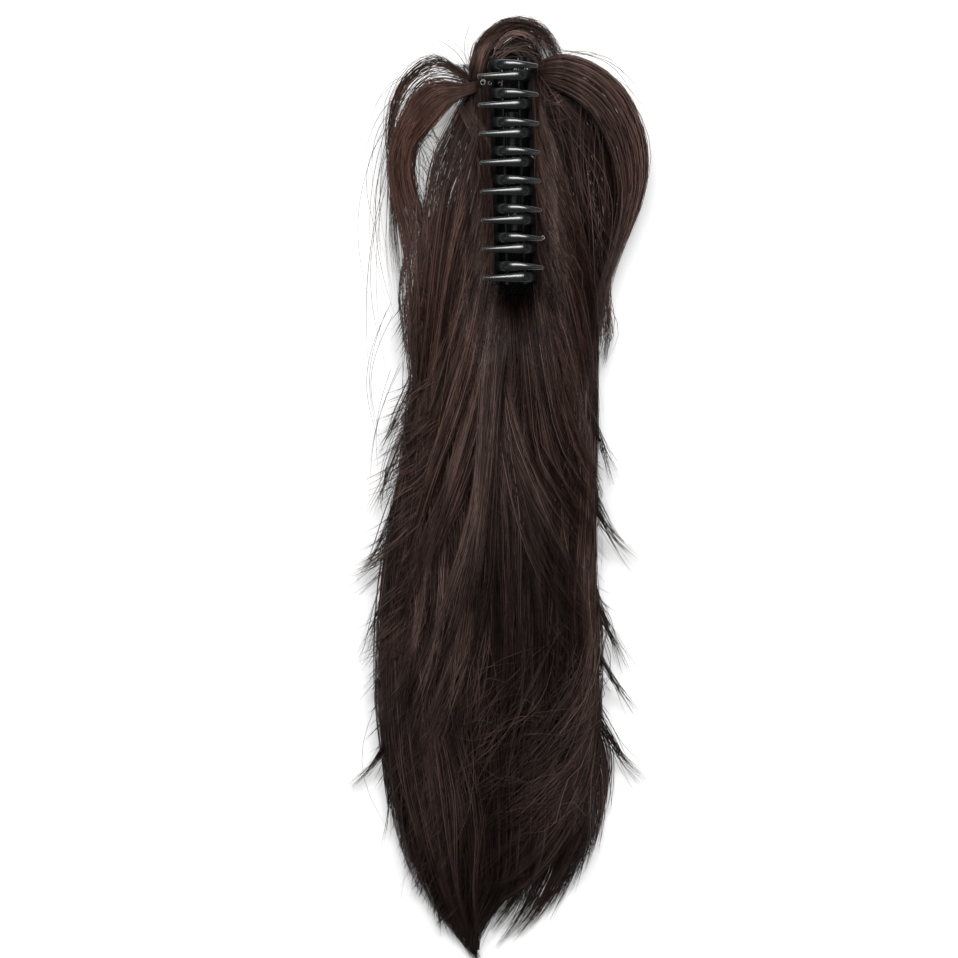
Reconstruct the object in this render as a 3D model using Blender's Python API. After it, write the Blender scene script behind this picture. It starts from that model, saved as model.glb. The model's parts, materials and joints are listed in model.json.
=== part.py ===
"""Ponytail hairpiece on a claw clip, lying on its back with the teeth up.

The clip's hinge runs along Y. The tail falls away towards -Y, and +X is the side of the big loop.
The origin is on the surface that the hair lies on, under the middle of the clip.
"""

import math

import bmesh
import bpy
from mathutils import Matrix, Vector

# Claw clip
JAW_LENGTH = 0.0996
JAW_WALL = 0.0020
JAW_HALF_WIDTH = 0.0082
WALL_TOP = 0.0125
CLAW_HEIGHT = 0.0240
TEETH_PER_JAW = 8
TOOTH_PITCH = 0.01265
TOOTH_STAGGER = 0.0050
TOOTH_ROOT_WIDTH = 0.0050
TOOTH_TIP_WIDTH = 0.0018
TOOTH_THICKNESS = 0.0025
TOOTH_TIP_DROP = 0.0026
RIGHT_TOOTH_REACH = 0.0145
LEFT_TOOTH_REACH = 0.0120
JAW_OPENING_DEG = 42.0

# Hinge
PIN_HEIGHT = 0.0230
PIN_RADIUS = 0.0014
PIN_SPARE = 0.0010
KNUCKLE_WALL = 0.00145
KNUCKLE_LENGTH = 0.0080
SIDE_GAP = 0.0004
BORE_GAP = 0.00035
SPRING_WIRE_RADIUS = 0.00045
SPRING_TURNS = 7
SPRING_ROOM = 0.0184
SPRING_LEG = 0.0070
SPRING_LEG_ANGLE_DEG = 66.0

# Finger levers, one on each jaw
LEVER_WIDTH = 0.0260
LEVER_REACH = 0.0180
LEVER_ANGLE_DEG = 40.0
LEVER_THICKNESS = 0.0018

# Sewn net that carries the hair
NET_OVERHANG = 0.0042
NET_WIDTH = 0.0280
NET_THICKNESS = 0.0015
NET_SLOT_WIDTH = 0.0232
NET_CORNER = 0.0050
SEAT_GAP = 0.0003
SWING_GAP = 0.0006

# Hair
TAIL_LENGTH = 0.3950
TAIL_WIDTH = 0.1000
TAIL_HEIGHT = 0.0330
TAIL_TOP_ABOVE_NET = -0.0030
RIDGE_DEPTH = 0.0013
RIDGE_COUNT = 4
LOCK_WIDTH = 0.0100
LOCK_HEIGHT = 0.0080
LOOP_REACH = 0.0580
LOOP_GAP = 0.0004

ACROSS_COUNT = 27
BELOW_COUNT = 5
STATION_COUNT = 2

# Along the tail: station from the net's end to the tip, left and right edges as shares of
# TAIL_WIDTH, height as a share of TAIL_HEIGHT.
TAIL_SECTIONS = (
    ("station", "left", "right", "height"),
    (0.000, -0.060, 0.100, 0.24),
    (0.012, -0.180, 0.235, 0.46),
    (0.040, -0.245, 0.320, 0.66),
    (0.085, -0.262, 0.345, 0.90),
    (0.125, -0.330, 0.348, 1.00),
    (0.168, -0.410, 0.345, 1.00),
    (0.212, -0.470, 0.347, 1.00),
    (0.268, -0.517, 0.352, 0.98),
    (0.323, -0.498, 0.350, 0.96),
    (0.357, -0.474, 0.336, 0.93),
    (0.413, -0.516, 0.325, 0.90),
    (0.472, -0.562, 0.321, 0.88),
    (0.519, -0.600, 0.312, 0.86),
    (0.564, -0.626, 0.305, 0.84),
    (0.624, -0.655, 0.338, 0.81),
    (0.704, -0.667, 0.323, 0.76),
    (0.758, -0.653, 0.308, 0.70),
    (0.810, -0.628, 0.283, 0.62),
    (0.862, -0.592, 0.258, 0.52),
    (0.910, -0.533, 0.200, 0.40),
    (0.938, -0.478, 0.090, 0.31),
    (0.962, -0.415, -0.120, 0.24),
    (0.982, -0.350, -0.205, 0.17),
    (1.000, -0.285, -0.245, 0.08),
)

# Locks fused to the tail: across as a share of TAIL_WIDTH, station along the tail, level as a share
# of TAIL_HEIGHT, width and height as shares of LOCK_WIDTH and LOCK_HEIGHT.
TAIL_LOCKS = {
    "flick_left": (
        (-0.50, 0.630, 0.42, 0.60, 0.60),
        (-0.60, 0.700, 0.38, 0.55, 0.55),
        (-0.690, 0.755, 0.28, 0.36, 0.36),
        (-0.760, 0.790, 0.18, 0.10, 0.14),
    ),
    "flick_right_upper": (
        (0.10, 0.400, 0.66, 0.80, 0.60),
        (0.22, 0.465, 0.56, 0.70, 0.55),
        (0.330, 0.520, 0.42, 0.42, 0.40),
        (0.410, 0.560, 0.28, 0.10, 0.14),
    ),
    "flick_right_middle": (
        (0.18, 0.560, 0.50, 0.80, 0.60),
        (0.290, 0.625, 0.42, 0.60, 0.50),
        (0.370, 0.675, 0.30, 0.34, 0.34),
        (0.430, 0.715, 0.20, 0.10, 0.14),
    ),
    "flick_right_lower": (
        (0.16, 0.680, 0.44, 0.80, 0.60),
        (0.270, 0.735, 0.36, 0.60, 0.50),
        (0.370, 0.778, 0.24, 0.34, 0.34),
        (0.440, 0.808, 0.15, 0.10, 0.14),
    ),
    "front_left": (
        (-0.14, 0.268, 0.84, 0.90, 0.75),
        (-0.22, 0.360, 0.78, 1.25, 0.85),
        (-0.34, 0.480, 0.70, 1.20, 0.85),
        (-0.44, 0.580, 0.60, 0.85, 0.70),
        (-0.52, 0.660, 0.48, 0.20, 0.25),
    ),
    "front_right": (
        (0.10, 0.262, 0.84, 0.80, 0.75),
        (0.12, 0.340, 0.80, 1.10, 0.85),
        (0.20, 0.420, 0.72, 1.00, 0.85),
        (0.28, 0.490, 0.58, 0.70, 0.60),
        (0.33, 0.540, 0.46, 0.20, 0.25),
    ),
    "front_middle": (
        (-0.04, 0.290, 0.88, 0.60, 0.60),
        (-0.06, 0.400, 0.80, 1.20, 0.75),
        (-0.10, 0.540, 0.72, 1.50, 0.80),
        (-0.16, 0.680, 0.62, 1.20, 0.70),
        (-0.24, 0.790, 0.46, 0.30, 0.30),
    ),
    "end_point": (
        (-0.38, 0.840, 0.34, 1.20, 0.90),
        (-0.40, 0.900, 0.26, 1.10, 0.70),
        (-0.34, 0.955, 0.18, 0.70, 0.45),
        (-0.235, 1.005, 0.09, 0.12, 0.14),
    ),
    "end_middle": (
        (0.06, 0.850, 0.34, 1.20, 0.90),
        (0.04, 0.905, 0.26, 1.00, 0.70),
        (-0.03, 0.950, 0.17, 0.55, 0.40),
        (-0.120, 0.985, 0.09, 0.12, 0.14),
    ),
    "end_right": (
        (0.20, 0.840, 0.34, 1.00, 0.90),
        (0.19, 0.890, 0.26, 0.90, 0.65),
        (0.13, 0.940, 0.17, 0.50, 0.38),
        (0.050, 0.975, 0.09, 0.12, 0.14),
    ),
}

# Loops that spring from the net and arch outside the tail. Across is a share of LOOP_REACH, along
# a share of JAW_LENGTH, level a share of the net's underside height, and width and height shares
# of LOCK_WIDTH and LOCK_HEIGHT.
RIGHT_LOOP = (
    (0.240, 0.435, 1.04, 0.36, 0.24),
    (0.340, 0.430, 1.05, 0.46, 0.28),
    (0.450, 0.405, 1.16, 0.74, 0.60),
    (0.590, 0.330, 1.30, 1.02, 0.90),
    (0.720, 0.180, 1.25, 1.12, 1.05),
    (0.800, -0.040, 1.05, 1.12, 1.10),
    (0.795, -0.220, 0.90, 1.00, 1.05),
    (0.755, -0.380, 0.76, 0.84, 0.90),
    (0.715, -0.520, 0.64, 0.62, 0.70),
    (0.680, -0.680, 0.54, 0.36, 0.44),
    (0.655, -0.800, 0.46, 0.12, 0.18),
)
TOP_LOOP = (
    (-0.280, 0.480, 0.96, 0.34, 0.40),
    (-0.262, 0.535, 0.98, 0.42, 0.55),
    (-0.150, 0.600, 0.96, 0.46, 0.70),
    (0.020, 0.627, 0.94, 0.48, 0.78),
    (0.200, 0.600, 0.96, 0.46, 0.70),
    (0.315, 0.550, 0.98, 0.40, 0.55),
    (0.355, 0.515, 0.96, 0.30, 0.40),
)
LEFT_LOOP_INNER = (
    (-0.240, 0.385, 1.04, 0.34, 0.24),
    (-0.320, 0.385, 1.05, 0.40, 0.28),
    (-0.530, 0.360, 1.02, 0.58, 0.50),
    (-0.745, 0.235, 0.86, 0.66, 0.62),
    (-0.860, 0.060, 0.72, 0.66, 0.66),
    (-0.895, -0.200, 0.62, 0.56, 0.62),
    (-0.945, -0.420, 0.54, 0.38, 0.48),
    (-0.975, -0.620, 0.46, 0.12, 0.18),
)
LEFT_LOOP_OUTER = (
    (-0.330, 0.395, 1.05, 0.26, 0.24),
    (-0.475, 0.455, 1.06, 0.22, 0.30),
    (-0.620, 0.525, 1.04, 0.20, 0.32),
    (-0.800, 0.440, 0.94, 0.22, 0.34),
    (-0.912, 0.285, 0.84, 0.24, 0.36),
    (-0.950, 0.060, 0.74, 0.26, 0.40),
    (-0.962, -0.150, 0.64, 0.22, 0.34),
)

# Worked out from the sizes above
NET_LENGTH = JAW_LENGTH + 2 * NET_OVERHANG
KNUCKLE_BORE = PIN_RADIUS + BORE_GAP
KNUCKLE_RADIUS = KNUCKLE_BORE + KNUCKLE_WALL
WALL_START = KNUCKLE_RADIUS + SIDE_GAP + JAW_WALL / 2
KNUCKLE_STEP = KNUCKLE_LENGTH + SIDE_GAP
NET_TOP = PIN_HEIGHT - KNUCKLE_RADIUS - SEAT_GAP
NET_UNDERSIDE = NET_TOP - NET_THICKNESS
TAIL_START = NET_LENGTH / 2 + TAIL_TOP_ABOVE_NET
COLOURS = {
    "plastic": ((0.012, 0.013, 0.014), 0.22, 0.0),
    "steel": ((0.55, 0.55, 0.56), 0.30, 1.0),
    "net": ((0.02, 0.015, 0.013), 0.80, 0.0),
    "hair": ((0.035, 0.020, 0.016), 0.45, 0.0),
}


def clear_scene():
    for obj in list(bpy.data.objects):
        bpy.data.objects.remove(obj)


def finish_material(name):
    """One Principled finish for each kind of piece."""
    colour, roughness, metallic = COLOURS[name]
    material = bpy.data.materials.get(name) or bpy.data.materials.new(name)
    material.use_nodes = True
    shader = material.node_tree.nodes["Principled BSDF"]
    shader.inputs["Base Color"].default_value = (*colour, 1.0)
    shader.inputs["Roughness"].default_value = roughness
    shader.inputs["Metallic"].default_value = metallic
    return material


def make_object(name, bm, finish=None):
    bmesh.ops.recalc_face_normals(bm, faces=bm.faces)
    mesh = bpy.data.meshes.new(name)
    bm.to_mesh(mesh)
    bm.free()
    mesh.shade_smooth()
    mesh.set_sharp_from_angle(angle=math.radians(50))
    obj = bpy.data.objects.new(name, mesh)
    bpy.context.scene.collection.objects.link(obj)
    if finish:
        mesh.materials.append(finish_material(finish))
    return obj


def as_tool(obj):
    """A helper that joins or cuts another piece, and isn't a piece itself."""
    obj.hide_render = True
    obj.display_type = "WIRE"
    return obj


def boolean(target, tool, operation):
    modifier = target.modifiers.new(f"{operation.lower()}_{tool.name}", "BOOLEAN")
    modifier.operation = operation
    modifier.solver = "EXACT"
    modifier.object = tool
    return target


def loft(rings):
    """A closed solid through rings of equal numbers of points, with flat ends."""
    bm = bmesh.new()
    loops = [[bm.verts.new(point) for point in ring] for ring in rings]
    count = len(loops[0])
    for near, far in zip(loops, loops[1:]):
        for i in range(count):
            j = (i + 1) % count
            bm.faces.new((near[i], near[j], far[j], far[i]))
    bm.faces.new(reversed(loops[0]))
    bm.faces.new(loops[-1])
    return bm


def prism(outline, start, end):
    """An outline in the X-Z plane, run along Y."""
    return loft([[Vector((x, y, z)) for x, z in outline] for y in (start, end)])


def smooth_rows(rows, steps):
    """Rows read from a Catmull-Rom curve through the given ones, with steps spans for each."""
    found = []
    for i in range(len(rows) - 1):
        before, here = rows[max(i - 1, 0)], rows[i]
        there, after = rows[i + 1], rows[min(i + 2, len(rows) - 1)]
        for k in range(steps):
            t = k / steps
            found.append(tuple(catmull(a, b, c, d, t) for a, b, c, d in zip(before, here, there, after)))
    return [*found, tuple(rows[-1])]


def catmull(a, b, c, d, t):
    slope_in, slope_out = (c - a) / 2, (d - b) / 2
    rise = 2 * b - 2 * c + slope_in + slope_out
    bend = -3 * b + 3 * c - 2 * slope_in - slope_out
    return ((rise * t + bend) * t + slope_in) * t + b


def sweep(path, half_widths, half_heights, sides, wide_axis=None):
    """An elliptical bar along a path. wide_axis fixes the way that its width runs."""
    rings = []
    for i, point in enumerate(path):
        tangent = (path[min(i + 1, len(path) - 1)] - path[max(i - 1, 0)]).normalized()
        if wide_axis is None:
            across = tangent.cross(Vector((0, 0, 1))).normalized()
        else:
            across = Vector(wide_axis)
        upward = across.cross(tangent).normalized()
        ring = []
        for k in range(sides):
            angle = 2 * math.pi * (k + 0.5) / sides
            ring.append(
                point
                + across * (half_widths[i] * math.cos(angle))
                + upward * (half_heights[i] * math.sin(angle))
            )
        rings.append(ring)
    return loft(rings)


def wall_line(side, steps=6):
    """The jaw wall's centre line: a quarter ellipse from beside the knuckle up to the teeth."""
    start = WALL_START * math.sqrt(0.5)
    line = []
    for i in range(steps + 1):
        angle = math.radians(-90 + 90 * i / steps)
        x = start + (JAW_HALF_WIDTH - start) * math.cos(angle)
        z = WALL_TOP + (WALL_TOP - start) * math.sin(angle)
        line.append((side * x, PIN_HEIGHT + z))
    return line


def thick_outline(line, thickness):
    """A line in the X-Z plane given a thickness, as a closed outline."""
    left, right = [], []
    for i, (x, z) in enumerate(line):
        before, after = line[max(i - 1, 0)], line[min(i + 1, len(line) - 1)]
        along = Vector((after[0] - before[0], after[1] - before[1])).normalized()
        offset = Vector((-along.y, along.x)) * thickness / 2
        left.append((x + offset.x, z + offset.y))
        right.append((x - offset.x, z - offset.y))
    return left + right[::-1]


def tooth(side, place, reach):
    """One tooth: it leaves the wall's top, arches over the middle and tapers past the other jaw."""
    crown = -JAW_WALL / 2
    rise = CLAW_HEIGHT - WALL_TOP
    path = [Vector((JAW_HALF_WIDTH, place, PIN_HEIGHT + WALL_TOP - JAW_WALL))]
    arch_steps, tip_steps = 6, 5
    for i in range(arch_steps + 1):
        angle = math.pi / 2 * i / arch_steps
        x = crown + (JAW_HALF_WIDTH - crown) * math.cos(angle)
        path.append(Vector((x, place, PIN_HEIGHT + WALL_TOP + rise * math.sin(angle))))
    for i in range(1, tip_steps + 1):
        t = i / tip_steps
        x = crown - (reach + crown) * t
        path.append(Vector((x, place, PIN_HEIGHT + CLAW_HEIGHT - TOOTH_TIP_DROP * t * t)))
    widths, heights = [], []
    last = len(path) - 1
    for i in range(len(path)):
        t = i / last
        widths.append((TOOTH_ROOT_WIDTH + (TOOTH_TIP_WIDTH - TOOTH_ROOT_WIDTH) * t**1.6) / 2)
        heights.append(TOOTH_THICKNESS / 2 * (1 - 0.45 * t * t))
    path = [Vector((side * p.x, p.y, p.z)) for p in path]
    return sweep(path, widths, heights, 8, wide_axis=(0, 1, 0))


def lever_line(side):
    """From beside the knuckle round and out to the finger pad."""
    start = WALL_START * math.sqrt(0.5)
    angle = math.radians(LEVER_ANGLE_DEG)
    end_x, end_z = LEVER_REACH * math.cos(angle), -LEVER_REACH * math.sin(angle)
    bow = LEVER_THICKNESS
    line = [(start, start), (WALL_START, 0.0)]
    for share in (0.33, 0.66, 1.0):
        x = WALL_START + (end_x - WALL_START) * share
        line.append((x, end_z * share + bow * math.sin(math.pi * share)))
    return [(side * x, PIN_HEIGHT + z) for x, z in line]


def knuckle_places(side):
    """The middle of each knuckle of a jaw. The two jaws' knuckles take turns along the pin."""
    first = SPRING_ROOM / 2 + SIDE_GAP + KNUCKLE_LENGTH / 2
    return [first + KNUCKLE_STEP, -first] if side > 0 else [first, -first - KNUCKLE_STEP]


def knuckle(place):
    bm = bmesh.new()
    turn = Matrix.Translation((0, place, PIN_HEIGHT)) @ Matrix.Rotation(math.pi / 2, 4, "X")
    bmesh.ops.create_cone(
        bm,
        cap_ends=True,
        segments=20,
        radius1=KNUCKLE_RADIUS,
        radius2=KNUCKLE_RADIUS,
        depth=KNUCKLE_LENGTH,
        matrix=turn,
    )
    return bm


def knuckle_web(side, place):
    """The short arm that joins a knuckle to its jaw's wall."""
    start = WALL_START * math.sqrt(0.5)
    inner = KNUCKLE_RADIUS * math.sqrt(0.5) * 0.82
    half = JAW_WALL / 2
    outline = [
        (side * (inner - half), PIN_HEIGHT + inner),
        (side * inner, PIN_HEIGHT + inner - half),
        (side * (start + half), PIN_HEIGHT + start - half / 2),
        (side * (start + half / 2), PIN_HEIGHT + start + half / 2),
    ]
    return prism(outline, place - KNUCKLE_LENGTH / 2, place + KNUCKLE_LENGTH / 2)


def bore_tool():
    bm = bmesh.new()
    turn = Matrix.Translation((0, 0, PIN_HEIGHT)) @ Matrix.Rotation(math.pi / 2, 4, "X")
    bmesh.ops.create_cone(
        bm,
        cap_ends=True,
        segments=20,
        radius1=KNUCKLE_BORE,
        radius2=KNUCKLE_BORE,
        depth=JAW_LENGTH,
        matrix=turn,
    )
    return bm


def make_jaw(name, side, reach, first_tooth):
    """One moulded half of the claw: wall, teeth, knuckles and finger lever."""
    wall = prism(thick_outline(wall_line(side), JAW_WALL), -JAW_LENGTH / 2, JAW_LENGTH / 2)
    jaw = make_object(name, wall, "plastic")
    pieces = []
    for i in range(TEETH_PER_JAW):
        place = first_tooth - i * TOOTH_PITCH
        pieces.append((f"{name}_tooth_{i + 1}", tooth(side, place, reach)))
    for i, place in enumerate(knuckle_places(side)):
        pieces.append((f"{name}_knuckle_{i + 1}", knuckle(place)))
        pieces.append((f"{name}_web_{i + 1}", knuckle_web(side, place)))
    lever = prism(thick_outline(lever_line(side), LEVER_THICKNESS), -LEVER_WIDTH / 2, LEVER_WIDTH / 2)
    pieces.append((f"{name}_lever", lever))
    for tool_name, bm in pieces:
        boolean(jaw, as_tool(make_object(tool_name, bm)), "UNION")
    boolean(jaw, as_tool(make_object(f"{name}_bore", bore_tool())), "DIFFERENCE")
    return jaw


def make_pin():
    length = SPRING_ROOM + 4 * KNUCKLE_STEP + 2 * PIN_SPARE
    bm = bmesh.new()
    turn = Matrix.Translation((0, 0, PIN_HEIGHT)) @ Matrix.Rotation(math.pi / 2, 4, "X")
    bmesh.ops.create_cone(
        bm, cap_ends=True, segments=20, radius1=PIN_RADIUS, radius2=PIN_RADIUS, depth=length, matrix=turn
    )
    return make_object("hinge_pin", bm, "steel")


def make_spring():
    """A torsion spring round the pin, with one leg towards each jaw's wall."""
    coil_radius = PIN_RADIUS + BORE_GAP + SPRING_WIRE_RADIUS
    coil_length = SPRING_ROOM - 4 * SPRING_WIRE_RADIUS
    leg_angle = math.radians(SPRING_LEG_ANGLE_DEG)
    per_turn = 12
    sweep_angle = 2 * math.pi * SPRING_TURNS - (math.pi - 2 * leg_angle)
    steps = SPRING_TURNS * per_turn
    path = [spring_point(SPRING_LEG, leg_angle, -coil_length / 2)]
    for i in range(steps + 1):
        share = i / steps
        path.append(
            spring_point(coil_radius, leg_angle - sweep_angle * share, coil_length * (share - 0.5))
        )
    path.append(spring_point(SPRING_LEG, math.pi - leg_angle, coil_length / 2))
    wire = [SPRING_WIRE_RADIUS] * len(path)
    rings_across = Vector((0, 1, 0))
    return make_object("spring", sweep(path, wire, wire, 6, wide_axis=rings_across), "steel")


def spring_point(radius, angle, y):
    return Vector((radius * math.cos(angle), y, PIN_HEIGHT + radius * math.sin(angle)))


def rounded_plate(width, length, corner, low, high):
    """A flat plate with rounded corners, in the X-Y plane."""
    bm = bmesh.new()
    bmesh.ops.create_cube(bm, size=1.0)
    middle = Vector((0, 0, (low + high) / 2))
    bmesh.ops.scale(bm, vec=(width, length, high - low), verts=bm.verts)
    bmesh.ops.translate(bm, vec=middle, verts=bm.verts)
    if corner:
        upright = [e for e in bm.edges if abs(e.verts[0].co.z - e.verts[1].co.z) > (high - low) / 2]
        bmesh.ops.bevel(bm, geom=upright, offset=corner, affect="EDGES", segments=4, profile=0.5, material=-1)
    return bm


def make_net():
    """The net that the hair is sewn to, under the knuckles, with a slot that the levers pass through."""
    net = make_object("net_base", rounded_plate(NET_WIDTH, NET_LENGTH, NET_CORNER, NET_UNDERSIDE, NET_TOP), "net")
    slot = rounded_plate(NET_SLOT_WIDTH, LEVER_WIDTH + 2 * SWING_GAP, 0, 0, PIN_HEIGHT)
    return boolean(net, as_tool(make_object("net_slot", slot)), "DIFFERENCE")


def swing_outline():
    """The room over the hair that the jaws and the net take, at rest and when the jaws open."""
    reach = JAW_HALF_WIDTH + JAW_WALL / 2
    opening = math.radians(JAW_OPENING_DEG)
    corner = math.hypot(reach, WALL_TOP)
    turned = math.atan2(WALL_TOP, reach) - opening
    arch = CLAW_HEIGHT + TOOTH_THICKNESS / 2
    net_side = NET_WIDTH / 2 + SEAT_GAP
    low = -JAW_WALL
    right = [
        (net_side, NET_UNDERSIDE - SEAT_GAP - PIN_HEIGHT),
        (net_side, low),
        (corner * math.cos(turned) + SWING_GAP, low),
        (arch * 0.83, corner * math.sin(turned) + SWING_GAP),
        (arch * 0.86, WALL_TOP),
        (arch * 0.86, PIN_HEIGHT + CLAW_HEIGHT),
    ]
    return [(x, PIN_HEIGHT + z) for x, z in right] + [(-x, PIN_HEIGHT + z) for x, z in reversed(right)]


def lever_outline():
    """The pocket in the hair that the two levers swing in."""
    reach = LEVER_REACH + LEVER_THICKNESS + SWING_GAP
    angle = math.radians(LEVER_ANGLE_DEG)
    side = max(reach * math.cos(angle), NET_WIDTH / 2 + SEAT_GAP) + SWING_GAP
    right = [
        (side, -JAW_WALL),
        (side, -reach * math.sin(angle)),
        (reach * math.cos(1.4 * angle), -reach * math.sin(1.4 * angle) - SWING_GAP),
        (reach * math.cos(1.8 * angle), -reach * math.sin(1.8 * angle) - SWING_GAP),
        (LEVER_THICKNESS, -reach),
    ]
    return [(x, PIN_HEIGHT + z) for x, z in right] + [(-x, PIN_HEIGHT + z) for x, z in reversed(right)]


def make_clip_room():
    """What is cut out of every hair piece, so that the clip sits and opens freely."""
    end = NET_LENGTH / 2 + SEAT_GAP
    room = as_tool(make_object("clip_room", prism(swing_outline(), -end, end)))
    half = LEVER_WIDTH / 2 + SWING_GAP
    pocket = as_tool(make_object("lever_room", prism(lever_outline(), -half, half)))
    return room, pocket


def tail_rings(grow=0.0):
    """Cross-sections of the tail: flat below, crowned and ridged above. grow adds an even margin."""
    rows = smooth_rows(TAIL_SECTIONS[1:], STATION_COUNT)
    rings = []
    last = len(rows) - 1
    for index, (station, left, right, height) in enumerate(rows):
        y = TAIL_START - TAIL_LENGTH * station
        y += grow if index == 0 else -grow if index == last else 0.0
        left_x, right_x = left * TAIL_WIDTH - grow, right * TAIL_WIDTH + grow
        middle, half = (left_x + right_x) / 2, (right_x - left_x) / 2
        top = height * TAIL_HEIGHT
        ring = []
        for k in range(ACROSS_COUNT):
            u = -math.cos(math.pi * k / (ACROSS_COUNT - 1))
            crown = (1 - abs(u) ** 2.4) ** 0.6
            ridge = RIDGE_DEPTH * min(height, 1.0) * crown * math.cos(2 * math.pi * RIDGE_COUNT * u + 5 * station)
            z = top * (0.30 + 0.70 * crown) + ridge + grow
            ring.append(Vector((middle + half * u, y, z)))
        for k in range(1, BELOW_COUNT + 1):
            u = 0.86 - 1.72 * (k - 1) / (BELOW_COUNT - 1)
            ring.append(Vector((middle + half * u, y, -grow)))
        rings.append(ring)
    return rings


def lock_solid(rows, across, along_start, along, level, steps=2):
    """One lock of hair: rows of across, along, level, width and height, in shares of named sizes."""
    path, widths, heights = [], [], []
    for x, s, z, width, height in smooth_rows(rows, steps):
        half_height = max(height, 0.02) * LOCK_HEIGHT / 2
        path.append(Vector((x * across, along_start + s * along, max(z * level, half_height * 1.2))))
        widths.append(max(width, 0.02) * LOCK_WIDTH)
        heights.append(half_height)
    return sweep(path, widths, heights, 8)


def make_tail(room, pocket):
    tail = make_object("hair_tail", loft(tail_rings()), "hair")
    for name, rows in TAIL_LOCKS.items():
        lock = lock_solid(rows, TAIL_WIDTH, TAIL_START, -TAIL_LENGTH, TAIL_HEIGHT)
        boolean(tail, as_tool(make_object(name, lock)), "UNION")
    boolean(tail, room, "DIFFERENCE")
    return boolean(tail, pocket, "DIFFERENCE")


def make_loop(name, strands, room, tail_room):
    """A loop of hair from one or more strands, cut clear of the clip and seated on the tail."""
    solids = [lock_solid(rows, LOOP_REACH, 0.0, JAW_LENGTH, NET_UNDERSIDE) for rows in strands]
    loop = make_object(name, solids[0], "hair")
    for i, solid in enumerate(solids[1:]):
        boolean(loop, as_tool(make_object(f"{name}_strand_{i + 2}", solid)), "UNION")
    boolean(loop, room, "DIFFERENCE")
    return boolean(loop, tail_room, "DIFFERENCE")


def main():
    clear_scene()
    teeth_span = (TEETH_PER_JAW - 1) * TOOTH_PITCH + TOOTH_STAGGER
    make_jaw("jaw_left", -1, LEFT_TOOTH_REACH, teeth_span / 2)
    make_jaw("jaw_right", 1, RIGHT_TOOTH_REACH, teeth_span / 2 - TOOTH_STAGGER)
    make_pin()
    make_spring()
    make_net()
    room, pocket = make_clip_room()
    make_tail(room, pocket)
    tail_room = as_tool(make_object("tail_room", loft(tail_rings(LOOP_GAP))))
    make_loop("hair_loop_right", [RIGHT_LOOP], room, tail_room)
    make_loop("hair_loop_top", [TOP_LOOP], room, tail_room)
    make_loop("hair_loop_left", [LEFT_LOOP_INNER, LEFT_LOOP_OUTER], room, tail_room)


main()
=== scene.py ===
"""The looks of a ponytail hairpiece on a claw clip, laid flat with the clip's teeth up.

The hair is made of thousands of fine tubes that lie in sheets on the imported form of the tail.
Lengths in the tables are millimetres from the point under the clip's middle: x across, y along the
clip away from the tail's tip, z up.
"""

import json
import math

import bmesh
import bpy
import numpy as np
from bpy.props import FloatProperty, FloatVectorProperty, IntProperty, PointerProperty
from mathutils import Matrix, Vector
from mathutils.bvhtree import BVHTree


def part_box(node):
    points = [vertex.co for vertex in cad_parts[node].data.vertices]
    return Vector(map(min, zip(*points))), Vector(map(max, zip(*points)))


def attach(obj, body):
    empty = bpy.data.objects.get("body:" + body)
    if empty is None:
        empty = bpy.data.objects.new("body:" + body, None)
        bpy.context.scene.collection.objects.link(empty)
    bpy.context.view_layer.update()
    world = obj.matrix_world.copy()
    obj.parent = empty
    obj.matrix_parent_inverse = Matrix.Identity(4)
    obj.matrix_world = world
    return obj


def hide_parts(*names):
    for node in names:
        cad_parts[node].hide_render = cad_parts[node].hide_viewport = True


bl_info = {
    "name": "Ponytail hairpiece",
    "version": (1, 0, 0),
    "blender": (4, 5, 0),
    "location": "3D View > Sidebar > Hairpiece",
    "description": "Dresses a ponytail hairpiece with its strands, its claw clip and its stage",
    "category": "Object",
}

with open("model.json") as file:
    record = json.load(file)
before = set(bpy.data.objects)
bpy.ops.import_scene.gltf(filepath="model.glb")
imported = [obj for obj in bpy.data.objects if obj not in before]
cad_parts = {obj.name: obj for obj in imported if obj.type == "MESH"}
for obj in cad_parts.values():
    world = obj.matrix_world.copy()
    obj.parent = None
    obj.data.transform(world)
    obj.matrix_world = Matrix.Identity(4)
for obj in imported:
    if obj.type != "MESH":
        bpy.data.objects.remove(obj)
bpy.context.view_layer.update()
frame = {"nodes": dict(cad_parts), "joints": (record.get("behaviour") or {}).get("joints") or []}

MM = 0.001
PIN = Vector(frame["joints"][0]["pos_m"])
JAW_LOW, JAW_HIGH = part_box("jaw_right")
NET_LOW, NET_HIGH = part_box("net_base")
TAIL_LOW, TAIL_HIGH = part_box("hair_tail")
HAIR_BODY = "hairpiece"

# The least height of a strand over the floor.
LEAST_HEIGHT = 0.5

# How high hair may lie beside the clip, by its distance from the clip's middle plane, so that the
# jaws open over it without touching.
SWING_X = (14.5, 16.5, 21.0, 22.5)
SWING_Z = (20.8, 22.0, 26.0, 60.0)
# How far along the clip that holds, and how steeply the hair may rise past it.
SWING_Y, SWING_RISE = 57.0, 0.8

# The hollow below the clip's end: where it starts and ends, half its width at the start, how far its
# tip leans, and its depth.
PARTING_TOP, PARTING_TIP, PARTING_HALF_WIDTH, PARTING_LEAN, PARTING_DEPTH = -49.0, -70.0, 7.5, -2.5, 7.0

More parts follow.
